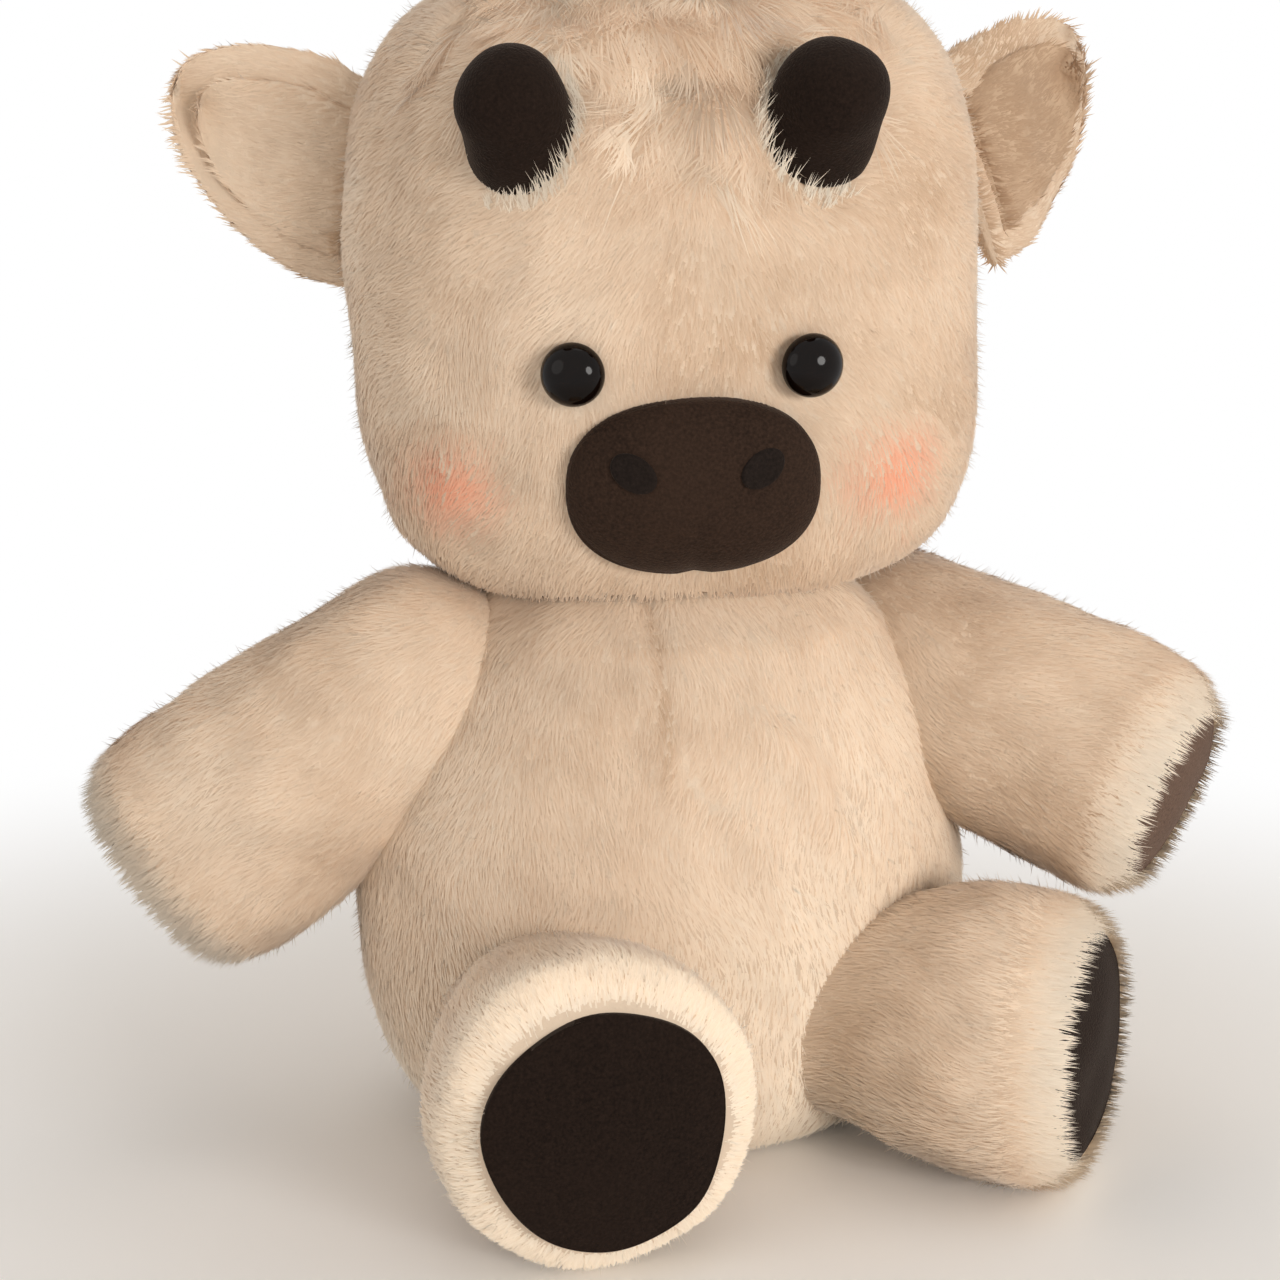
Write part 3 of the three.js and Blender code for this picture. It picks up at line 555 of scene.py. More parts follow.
def spikes(roots, toward, size, width, seed, tint=0.5, blush=0.0, clump=0.004, pull=0.0, stray=0.2):
    """Standing tufts as three-sided spikes: a small triangle round each root, and a tip at size along toward."""
    rng = np.random.default_rng(seed)
    place, normal = roots["place"], roots["normal"]
    count = len(place)
    size = (np.broadcast_to(size, count) * rng.uniform(0.65, 1.15, count))[:, None]
    axis = unit(unit(toward) + rng.normal(size=(count, 3)) * stray)
    first = unit(np.cross(axis, rng.normal(size=(count, 3))))
    second = np.cross(axis, first)
    foot = place - axis * size * 0.1
    points = np.zeros((count, 4, 3))
    for k in range(3):
        turn = 2 * math.pi * k / 3
        points[:, k] = foot + (first * math.cos(turn) + second * math.sin(turn)) * width / 2
    points[:, 3] = foot + axis * size + (clump_middles(place, clump, seed) - place) * pull
    points[..., 2] = np.maximum(points[..., 2], TUFT_FLOOR)
    return {
        "points": points, "faces": [(0, 1, 3), (1, 2, 3), (2, 0, 3)], "normals": unit(normal + 0.3 * axis),
        "across": np.array((0.1, 0.5, 0.9, 0.5)), "along": np.array((0.01, 0.01, 0.01, 0.99)),
        "column": tint_columns(count, tint, blush, rng),
    }


def tufts_object(name, kinds):
    """One mesh from kinds of like tufts. Its UV holds the tint across and root to tip along.

    Light passes between real fibres, so the tufts cast no shadow and the skin under them casts it.
    """
    points, normals, corners, starts, strip = [], [], [], [], []
    first = filled = 0
    for kind in kinds:
        count, each = kind["points"].shape[:2]
        step = np.arange(count)[:, None]
        flat = np.concatenate([np.array(face) for face in kind["faces"]])
        begin = np.cumsum([0] + [len(face) for face in kind["faces"][:-1]])
        corners.append((flat + step * each + first).ravel())
        starts.append((begin + step * len(flat) + filled).ravel())
        u = (kind["column"][:, None] + kind["across"][flat]) / TINTS
        strip.append(np.stack((u, np.broadcast_to(kind["along"][flat], u.shape)), axis=-1).reshape(-1, 2))
        points.append(kind["points"].reshape(-1, 3))
        normals.append(np.repeat(kind["normals"], each, axis=0))
        first, filled = first + count * each, filled + count * len(flat)
    made = mesh_object(name, np.vstack(points), np.concatenate(corners), np.concatenate(starts), finish_of("pile"))
    layer = made.data.uv_layers.new(name="OFBake")
    layer.data.foreach_set("uv", np.vstack(strip).astype(np.float32).ravel())
    made.data.normals_split_custom_set_from_vertices(np.vstack(normals))
    made.visible_shadow = False
    return made


def pile_object(name, roots, comb, seed, size=None, tint=0.5, blush=0.0, fuzz=0.05, **lie):
    """Lying blades on all the roots, and on a fuzz share of them a thin spike that stands up between them."""
    pile, count = bpy.context.scene.cow_pile, len(roots["place"])
    size, width = size or pile.strand_length, pile.strand_width
    tint, blush = np.broadcast_to(tint, count), np.broadcast_to(blush, count)
    lying = blades(roots, comb, size, width, seed, tint=tint, blush=blush, **{"clump": pile.clump, **lie})
    up = np.random.default_rng(seed + 5000).random(count) < fuzz
    few = kept(roots, up)
    toward = few["normal"] + 0.7 * unit(flat_to(comb, roots["normal"]))[up]
    # painted light: the standing spikes are painted lighter, to make up for their faces turned from the lamps
    standing = spikes(few, toward, size * 0.75, width * 0.5, seed + 1, tint=tint[up] + 0.1, blush=blush[up])
    return tufts_object(name, [lying, standing])


# Materials


def wire(tree, node, inputs):
    """Links each input of a node that is given another's output, and sets each that is given a value."""
    for key, value in inputs.items():
        socket = node.inputs[key.replace("_", " ") if isinstance(key, str) else key]
        if isinstance(value, bpy.types.NodeSocket):
            tree.links.new(value, socket)
        else:
            socket.default_value = value


def new_material(name, **inputs):
    """A material, its nodes and its shader with these inputs."""
    made = bpy.data.materials.new(name)
    made.use_nodes = True
    shader = made.node_tree.nodes["Principled BSDF"]
    wire(made.node_tree, shader, inputs)
    return made, made.node_tree, shader


def add_node(tree, kind, *ordered, **values):
    """A node of a kind, with its settings and its inputs, by name or as the first ones in order."""
    node = tree.nodes.new("ShaderNode" + kind)
    named = {key: value for key, value in values.items() if not hasattr(node, key)}
    for key in values.keys() - named.keys():
        setattr(node, key, values[key])
    wire(tree, node, {**dict(enumerate(ordered)), **named})
    return node


def ramp(tree, source, stops):
    """A colour ramp through (place, colour) stops."""
    node = add_node(tree, "ValToRGB", source)
    elements = node.color_ramp.elements
    while len(elements) < len(stops):
        elements.new(0.5)
    for element, (place, value) in zip(elements, stops):
        element.position = place
        element.color = (*value, 1)
    return node.outputs["Color"]


def noise(tree, scale, detail=3.0):
    """Noise on the object's own coordinates, scale times in a metre."""
    where = add_node(tree, "TexCoord").outputs["Object"]
    return add_node(tree, "TexNoise", Vector=where, Scale=scale, Detail=detail).outputs["Fac"]


def mixed(tree, first, second, share=1.0, blend="MIX"):
    """Two colours mixed by a share."""
    node = add_node(tree, "Mix", data_type="RGBA", blend_type=blend)
    wire(tree, node, {"Factor": share, 6: first, 7: second})
    return node.outputs[2]


def bumped(tree, scale, detail, strength, depth):
    """The normal of a surface roughened by noise, depth in millimetres."""
    height = noise(tree, scale, detail)
    return add_node(tree, "Bump", Strength=strength, Distance=depth * MM, Height=height).outputs["Normal"]


def scaled(value, share):
    """A colour times a number."""
    return tuple(min(1.0, c * share) for c in value)


def pile_material():
    """Cream pile: the tint runs across the UV, dark to light and then to blush, and roots are painted darker than tips
    as painted shade deep in the pile.
    """
    tones = bpy.context.scene.cow_colours
    made, tree, shader = new_material(
        "pile", Roughness=0.8, Sheen_Weight=0.3, Sheen_Roughness=0.45, Specular_IOR_Level=0.15
    )
    parts = add_node(tree, "SeparateXYZ", add_node(tree, "UVMap", uv_map="OFBake").outputs["UV"])
    turn = CREAM_TINTS / TINTS
    first_coral = mix(np.array(tones.pile_dark), np.array(tones.pile_middle), 0.65)
    tint = ramp(tree, parts.outputs["X"], [
        (0, tones.pile_painted_shade), (turn * 0.2, tones.pile_dark), (turn * 0.5, tones.pile_middle),
        (turn - 0.01, tones.pile_light), (turn + 0.01, first_coral), (1, tones.blush),
    ])
    # painted shade: the roots are darker, for the shade deep between the fibres
    root = ramp(tree, parts.outputs["Y"], [(0, (0.93, 0.91, 0.89)), (0.5, (0.98, 0.975, 0.97)), (1, (1, 1, 1))])
    wire(tree, shader, {"Base Color": mixed(tree, tint, root, blend="MULTIPLY")})
    return made


def skin_material(name, dark, light):
    """The cloth under the pile: the root colour in two sizes of noise, with a fine knitted bump."""
    made, tree, shader = new_material(name, Roughness=0.95, Sheen_Weight=0.2, Specular_IOR_Level=0.15)
    tint = ramp(tree, noise(tree, 90), [(0.3, dark), (0.75, light)])
    wire(tree, shader, {"Base Color": tint, "Normal": bumped(tree, 900, 4, 0.6, 0.6)})
    return made


def suede_material(name, dark, light):
    """Short suede: broad brushed patches, a fine nap in colour and bump, and a soft sheen."""
    made, tree, shader = new_material(
        name, Roughness=0.9, Sheen_Weight=0.12, Sheen_Roughness=0.35, Sheen_Tint=(0.8, 0.65, 0.55, 1),
        Specular_IOR_Level=0.1)
    patch = ramp(tree, noise(tree, 55, 2), [(0.35, (0, 0, 0)), (0.7, (1, 1, 1))])
    nap = ramp(tree, noise(tree, 1500, 5), [(0.3, scaled(dark, 0.72)), (0.72, light)])
    share = add_node(tree, "Math", patch, 0.35, operation="MULTIPLY").outputs[0]
    tint = mixed(tree, nap, (*light, 1), share)
    wire(tree, shader, {"Base Color": tint, "Normal": bumped(tree, 1800, 5, 0.7, 0.4)})
    return made


def gloss_material():
    """Polished black plastic."""
    tones = bpy.context.scene.cow_colours
    made, tree, shader = new_material("button_gloss", Roughness=0.08, Specular_IOR_Level=0.16)
    tint = ramp(tree, noise(tree, 400, 2), [(0.3, tones.eye), (0.8, scaled(tones.eye, 1.6))])
    wire(tree, shader, {"Base Color": tint})
    return made


PALE = (0.86, 0.85, 0.82)
WHITE = (1, 1, 1, 1)


def plain_material(name, tone, grain):
    """A pale moulded or woven finish with a fine grain in colour and bump."""
    made, tree, shader = new_material(name, Roughness=0.6)
    tint = ramp(tree, noise(tree, grain), [(0.3, scaled(tone, 0.86)), (0.7, tone)])
    wire(tree, shader, {"Base Color": tint, "Normal": bumped(tree, grain * 3, 3, 0.3, 0.3)})
    return made


def finish_of(name):
    """The material with this name, made the first time that it is asked for."""
    found = bpy.data.materials.get(name)
    if found:
        return found
    tones = bpy.context.scene.cow_colours
    cloths = {
        "pile_ground": (skin_material, scaled(tones.pile_middle, 0.88), scaled(tones.pile_middle, 1.02)),
        # painted shade: the ground of the ears' shaded linings
        "shaded_ground": (skin_material, tones.pile_painted_shade, tones.pile_dark),
        "suede": (suede_material, tones.suede, tones.suede_light),
        "muzzle_suede": (suede_material, tones.muzzle, scaled(tones.muzzle, 1.9)),
        # painted sheen: the hand pads' suede is painted paler than the other pads'
        "hand_suede": (suede_material, tones.hand_pad, scaled(tones.hand_pad, 1.6)),
        "nostril_suede": (suede_material, tones.nostril, scaled(tones.nostril, 1.9)),
        "bag_cloth": (plain_material, PALE, 700),
        "lock_plastic": (plain_material, PALE, 700),
    }
    if name in cloths:
        make, *looks = cloths[name]
        return make(name, *looks)
    return pile_material() if name == "pile" else gloss_material()


# Forms that several pieces share


def body_frame():
    """The body's own frame: turned about the upright."""
    return rotation(bpy.context.scene.cow_body.turn, "Z")


def body_profile(grow):
    """Half widths across and deep and heights of the body, from the middle of the seat to the top of the dome."""
    sizes, rows = bpy.context.scene.cow_body, 90
    radius = sizes.neck_radius + grow
    dome_height = sizes.neck_height + radius * math.sin(sizes.dome_start)
    dome_radius = radius * math.cos(sizes.dome_start)
    floor = -grow * 0.35
    half_width, half_depth = sizes.width / 2 + grow, sizes.depth / 2 + grow
    shares = np.array((
        (0, 0, 0), (0, 0.3, 0.3), (0, 0.6, 0.62), (0.05, 0.79, 0.8), (0.17, 0.92, 0.94),
        (0.36, 1, 1), (0.58, 1, 1.01), (0.82, 0.89, 0.97),
    ))
    stations = [(w * half_width, d * half_depth, mix(floor, dome_height, h)) for h, w, d in shares]
    side = through([*stations, (dome_radius, dome_radius, dome_height)], rows)
    side[:, 2] = np.maximum(side[:, 2], floor)
    turn = np.linspace(sizes.dome_start, math.pi / 2, rows // 3)[1:]
    dome = np.stack((radius * np.cos(turn), radius * np.cos(turn), sizes.neck_height + radius * np.sin(turn)), axis=-1)
    dome[-1, :2] = 0
    return np.vstack((side, dome))


def inside_rings(local, profile, end_rows=0):
    """True for points inside a form of oval rings, from its widths at their height; a flat end's rows are left out."""
    heights = profile[:, 2] + np.arange(len(profile)) * 1e-9
    side = slice(len(profile) - end_rows)
    across, deep = (np.interp(local[..., 2], heights[side], profile[side, k]) for k in (0, 1))
    ratio = (local[..., 0] / np.maximum(across, 1e-6)) ** 2 + (local[..., 1] / np.maximum(deep, 1e-6)) ** 2
    return (ratio < 1) & (local[..., 2] > heights[0]) & (local[..., 2] < heights[-1])


def inside_body(points, grow):
    """True for points inside the body's form, from its widths at their height."""
    return inside_rings(into(points, body_frame()), body_profile(grow))


def head_frame():
    """The head's own frame: tipped forward, tilted, and raised to its middle."""
    sizes = bpy.context.scene.cow_head
    middle = (0, -sizes.forward, sizes.centre_height)
    return shift(middle) @ rotation(-sizes.tilt, "Y") @ rotation(sizes.tip, "X")


def head_level(share, low):
    """Width of the head as a share of its widest, at a share of its half height from the middle."""
    sizes = bpy.context.scene.cow_head
    power = np.where(low, sizes.jaw_power, sizes.crown_power)
    return np.maximum(1 - np.abs(share) ** power, 0) ** (1 / power)


def inside_head(points, grow):
    """True for points inside the head's form."""
    sizes = bpy.context.scene.cow_head
    local = into(points, head_frame())
    level = head_level(local[..., 2] / (sizes.height / 2 + grow), local[..., 2] < 0)
    plan = sizes.plan_power
    across = np.abs(local[..., 0] / (sizes.width / 2 + grow)) ** plan
    deep = np.abs(local[..., 1] / (sizes.depth / 2 + grow)) ** plan
    return across + deep < level**plan


def neck_place():
    """The middle of the ball that the head turns on."""
    return np.array((0, 0, bpy.context.scene.cow_body.neck_height))


def face_place(across, rise, out=0.0):
    """World points on the front of the head, out from its pile, at places across and up from its middle."""
    sizes = bpy.context.scene.cow_head
    level = head_level(2 * rise / sizes.height, rise < 0)
    side = np.minimum(np.abs(2 * across / (sizes.width * level)), 0.999) ** sizes.plan_power
    y = -sizes.depth / 2 * level * (1 - side) ** (1 / sizes.plan_power) - out
    return placed(np.stack(np.broadcast_arrays(across, y, rise), axis=-1), head_frame())


def face_frame(across, rise):
    """A frame on the face: Z out of it, Y up along it."""
    step = 0.5 * MM
    here, right, above = (face_place(np.array(a), np.array(r)) for a, r in (
        (across, rise), (across + step, rise), (across, rise + step)))
    return frame_along(np.cross(right - here, above - here), UPWARD, here)


class Limb:
    """An arm or a leg: its frame runs from the seam to the pad, and its form is a ball that swells to a round end."""

    swell = 1.5 * MM
    end_rows = 11

    def __init__(self, name, side):
        sizes = bpy.context.scene.cow_limbs
        sign = SIDES[side]
        self.name, self.is_arm = f"{name}_{side}", name == "arm"

        def size(key):
            """One of this kind of limb's sizes, such as arm_root or leg_root."""
            return getattr(sizes, f"{name}_{key}")

        self.root, self.length, self.end = size("root"), size("length"), (size("width") / 2, size("depth") / 2)
        if self.is_arm:
            self.edge, self.pad = 13 * MM, f"hand_pad_{side}"
            self.pad_half = (sizes.hand_width / 2, sizes.hand_depth / 2)
            self.root += sizes.shoulder_fullness
            down, ahead = size(f"{side}_down"), size(f"{side}_forward")
            direction = np.array((
                sign * math.cos(down) * math.cos(ahead), -math.cos(down) * math.sin(ahead), -math.sin(down)))
            guide = BACKWARD
        else:
            self.edge, self.pad = 14 * MM, f"foot_pad_{side}"
            self.pad_half = (sizes.foot_pad / 2, sizes.foot_pad / 2)
            yaw = size(f"{side}_yaw")
            direction = np.array((sign * math.sin(yaw), -math.cos(yaw), 0))
            guide = UPWARD
        seam = (sign * size("spacing") / 2, -size("forward"), size("height"))
        self.seam = placed(np.array(seam), body_frame())
        self.frame = frame_along(direction, guide, self.seam)
        self.direction = unit(direction)

    def profile(self, grow):
        """Half widths and heights from the root's pole, over the ball, the shank and the edge, to the end's middle."""
        root = self.root + grow
        ends = np.array(self.end) + grow
        edge = self.edge + grow * 0.4
        top = self.length + grow
        ball = np.linspace(-math.pi / 2, 0, 16)
        shank = np.linspace(0, 1, 30)[1:]
        turn = np.linspace(0, math.pi / 2, 14)[1:]
        flat = np.linspace(1, 0, self.end_rows + 1)[1:]
        rows = [np.stack((root * np.cos(ball), root * np.cos(ball), root * np.sin(ball)), axis=-1)]
        belly = self.swell * np.sin(math.pi * shank)
        rows.append(np.stack([mix(root, end, ease(shank)) + belly for end in ends] + [shank * (top - edge)], axis=-1))
        rows.append(np.stack(
            [end - edge * (1 - np.cos(turn)) for end in ends] + [top - edge + edge * np.sin(turn)], axis=-1))
        rows.append(np.stack([(end - edge) * flat for end in ends] + [top + 0 * flat], axis=-1))
        made = np.vstack(rows)
        made[0, :2] = 0
        return made

    def inside(self, points, grow):
        """True for points inside the limb's form, from its widths at their place along it."""
        return inside_rings(into(points, self.frame), self.profile(grow), self.end_rows)


def all_limbs():
    """The two arms and the two legs."""
    return [Limb(name, side) for name in ("arm", "leg") for side in SIDES]


def tint_at(points, seed):
    """Broad patches of lighter and darker pile, from about 0.35 to 0.65."""
    return 0.5 + 0.08 * waves(points, 0.045, seed) + 0.04 * waves(points, 0.012, seed + 1)


def swirl(roots, comb, size, strength, seed):
    """The comb direction turned this way and that by smooth noise."""
    across = np.cross(roots["normal"], comb)
    return comb + across * (waves(roots["place"], size, seed) * strength)[:, None]


def box_of(node):
    """Half the size and the middle of a CAD node's box."""
    low, high = (np.array(corner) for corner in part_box(node))
    return (high - low) / 2, (high + low) / 2


def carry(made, bodies, material_slot, *nodes, filling=0.0):
    """The piece rides on a body, or with a list of bodies keeps its place with its matrix applied, and stands for its
    nodes. Its filling is not used.
    """
    if isinstance(bodies, str):
        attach(made, bodies)
    else:
        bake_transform(made)
    if nodes:
        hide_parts(*nodes)


# Operators: one for each kind of piece


class CowBuild(bpy.types.Operator):
    """Common settings of the operators."""

    bl_options = {"REGISTER", "UNDO"}


class COW_OT_stage(CowBuild):
    """Make the floor, the lamps, the world and the camera."""

    bl_idname = "cow.stage"
    bl_label = "Stage"
    # name, place in metres, width, power in watts and colour
    lamps = (
        ("key", (0.8, -1.15, 0.28), 0.5, 8.5, (1, 0.98, 0.95)),
        ("fill", (-1.1, -0.8, 0.46), 0.9, 1.9, (1, 0.96, 0.92)),
        ("top", (0.1, 0.1, 1.3), 0.9, 1.6, (1, 0.97, 0.93)),
        ("back", (0.4, 1.3, 0.4), 0.9, 2.2, (1, 0.97, 0.93)),
    )
    lit = (0, 0, 0.13)  # where the lamps point

    def execute(self, context):
        scene = context.scene
        scene.view_settings.view_transform = "Standard"
        made, tree, shader = new_material(
            "floor", Roughness=0.9, Specular_IOR_Level=0.1, Base_Color=(*scene.cow_colours.floor, 1))
        self.fade(tree, shader)
        near, far, bend, top, half = -2.5, 1.2, 0.8, 3.0, 4.0
        curve = [(far + bend * math.sin(a), bend - bend * math.cos(a)) for a in np.linspace(0.1, math.pi / 2, 16)]
        run = [(near, 0), (far, 0), *curve, (far + bend, top)]
        points = np.array([(x, y, z) for y, z in run for x in (-half, half)])
        row = np.arange(len(run) - 1) * 2
        corners = np.stack((row, row + 1, row + 3, row + 2), axis=-1).ravel()
        floor = mesh_object("floor", points, corners, np.arange(len(row)) * 4, made)

        scene.world = world = bpy.data.worlds.new("studio")
        world.use_nodes = True
        tree = world.node_tree
        light = tree.nodes["Background"]
        wire(tree, light, {"Color": (1, 0.95, 0.89, 1), "Strength": 0.55})
        seen = add_node(tree, "Background", Color=WHITE, Strength=1.0)
        join = add_node(tree, "MixShader", self.seen(tree), light.outputs[0], seen.outputs[0])
        wire(tree, tree.nodes["World Output"], {"Surface": join.outputs[0]})

        for name, place, size, power, tone in self.lamps:
            lamp = bpy.data.lights.new(name, "AREA")
            lamp.shape, lamp.size, lamp.energy, lamp.color = "DISK", size, power, tone
            aim = frame_along(np.array(place) - self.lit, UPWARD + BACKWARD * 0.01, place)
            self.hung(name, lamp, aim).visible_camera = False

        turn, rise = math.radians(-5), math.radians(10)
        away, aside, focal, frame_width = 0.48, 4.68 * MM, 2050, 1280
        target = np.array((0, 0, 0.112)) - aside * np.array((math.cos(turn), math.sin(turn), 0))
        ahead = np.array((-math.sin(turn) * math.cos(rise), math.cos(turn) * math.cos(rise), -math.sin(rise)))
        camera = bpy.data.cameras.new("camera")
        camera.sensor_width, camera.lens = 36, 36 * focal / frame_width
        camera.clip_start, camera.clip_end = 0.02, 20
        scene.camera = self.hung("camera", camera, frame_along(-ahead, UPWARD, target - ahead * away))
        return {"FINISHED"}

    @staticmethod
    def hung(name, data, matrix):
        """A lamp or camera as an object that looks down its frame's -Z."""
        holder = bpy.data.objects.new(name, data)
        holder.matrix_world = Matrix(matrix.tolist())
        bpy.context.scene.collection.objects.link(holder)
        return holder

    @staticmethod
    def seen(tree):
        """1 for a ray from the camera or through gloss or glass, and 0 for one that lights the object."""
        path = add_node(tree, "LightPath")
        total = path.outputs["Is Camera Ray"]
        for other in ("Is Glossy Ray", "Is Transmission Ray"):
            total = add_node(tree, "Math", total, path.outputs[other], operation="MAXIMUM").outputs[0]
        return total

    def fade(self, tree, shader):
        """The floor turns to plain white, for rays that see it, from 0.12 to 0.42 m away from the object."""
        where = add_node(tree, "TexCoord").outputs["Object"]
        far = add_node(tree, "VectorMath", where, operation="LENGTH").outputs["Value"]
        share = add_node(tree, "MapRange", Value=far, From_Min=0.12, From_Max=0.42, interpolation_type="SMOOTHSTEP")
        both = add_node(tree, "Math", share.outputs["Result"], self.seen(tree), operation="MULTIPLY")
        white = add_node(tree, "Emission", Strength=1.0)
        join = add_node(tree, "MixShader", both.outputs[0], shader.outputs[0], white.outputs[0])
        wire(tree, tree.nodes["Material Output"], {"Surface": join.outputs[0]})


class COW_OT_body(CowBuild):
    """Make the body's skin with its front seam and belly folds, its pile, and the pellet bag inside it."""

    bl_idname = "cow.body"
    bl_label = "Body"

    def execute(self, context):
        sizes = context.scene.cow_body
        pile = context.scene.cow_pile
        profile = body_profile(-pile.depth)
        local = ring_skin(profile[:, 0], profile[:, 1], profile[:, 2], columns=144)
        raised = Skin(local).pushed(self.folds(local, sizes))
        raised.points[..., 2] = np.maximum(raised.points[..., 2], SKIN_FLOOR)
        skin = Skin(placed(raised.points, body_frame()))
        made = skin_object("body_skin", skin, "pile_ground")
        carry(made, "body", "pile_cover", "body_cover", "body_stuffing", filling=0.8)

        roots = roots_on(skin, 11)
        place = roots["place"]
        keep = ~inside_head(place, -2 * MM) & (place[:, 2] > 1.2 * MM)
        for limb in all_limbs():
            keep &= ~limb.inside(place, -pile.depth - HIDDEN)
        roots = kept(roots, keep)
        place, local = roots["place"], into(roots["place"], body_frame())
        comb = swirl(roots, flat_to(-UPWARD, roots["normal"]), 0.04, 0.35, 12)
        seam = bump(local[:, 0] - sizes.seam_shift, 2 * MM)
        seam = seam * (roots["normal"][:, 1] < 0) * onset(place[:, 2], 0.085, 0.02)
        tint = tint_at(place, 14) - 0.25 * seam
        # painted light: lighter low on the belly, near the floor, and on the cow's left side, which faces the key lamp
        tint += 0.32 * bump(place[:, 2], 65 * MM) + 0.14 * ease(place[:, 0] / 0.04)
        front = local[:, 1] < 0
        for name, half, seed in (("body_front_pile", front, 13), ("body_back_pile", ~front, 15)):
            made = pile_object(name, kept(roots, half), comb[half], seed, tint=tint[half])
            carry(made, "body", "pile_cover")
        self.pellet_bag()
        return {"FINISHED"}

    @staticmethod
    def folds(points, sizes):
        """Lumps of filling, a groove along the front seam, and soft creases beside it.

        Each is a bell of the distance to a smooth line through places (across, up) on the belly.
        """
        x, y, z = points[..., 0], points[..., 1], points[..., 2]
        front = onset(-y, 0.01, 0.03)
        shift = sizes.seam_shift
        seam = ((shift, 0.135), (shift, 0.112), (shift + 0.003, 0.102), (shift + 0.005, 0.094), (shift + 0.009, 0.089))
        upper = ((0.006, 0.103), (0.0125, 0.098), (0.0185, 0.09), (0.0225, 0.081), (0.028, 0.073))
        lower = ((0.001, 0.085), (0.005, 0.078), (0.0085, 0.07), (0.013, 0.061))

        def along(path, width):
            """A bell of the distance to a smooth line through the path's places."""
            line = through(path, 40)
            gap = np.min([np.hypot(x - a, z - b) for a, b in line], axis=0)
            return bump(gap, width)

        folds = sizes.fold_depth * (0.8 * along(upper, 4 * MM) + 0.6 * along(lower, 3.5 * MM))
        folds = folds - 0.35 * sizes.fold_depth * along(np.array(upper) + (0.006, 0.004), 3 * MM)
        folds = folds + 0.35 * sizes.fold_depth * along(np.array(seam[1:]) - (0.004, 0.0), 3 * MM)
        lumps = 0.9 * MM * waves(points, 0.055, 22) + 0.3 * MM * waves(points, 0.02, 23)
        return lumps + front * (folds - sizes.seam_depth * along(seam, 1.8 * MM))

    @staticmethod
    def pellet_bag():
        """A squashed ball with small lumps of pellets, flat on the floor of the body."""
        half, middle = box_of("pellet_bag")
        turn = np.linspace(-math.pi / 2, math.pi / 2, 40)
        wide = np.cos(turn) ** 0.8
        wide[[0, -1]] = 0
        skin = Skin(ring_skin(half[0] * wide, half[1] * wide, half[2] * np.sin(turn), columns=64))
        skin = skin.pushed(0.5 * MM * waves(skin.points, 0.006, 31) - 0.5 * MM)
        made = skin_object("pellet_bag_cloth", Skin(skin.points + middle), "bag_cloth")
        carry(made, "body", "pellet_cloth", "pellet_bag", filling=0.5)


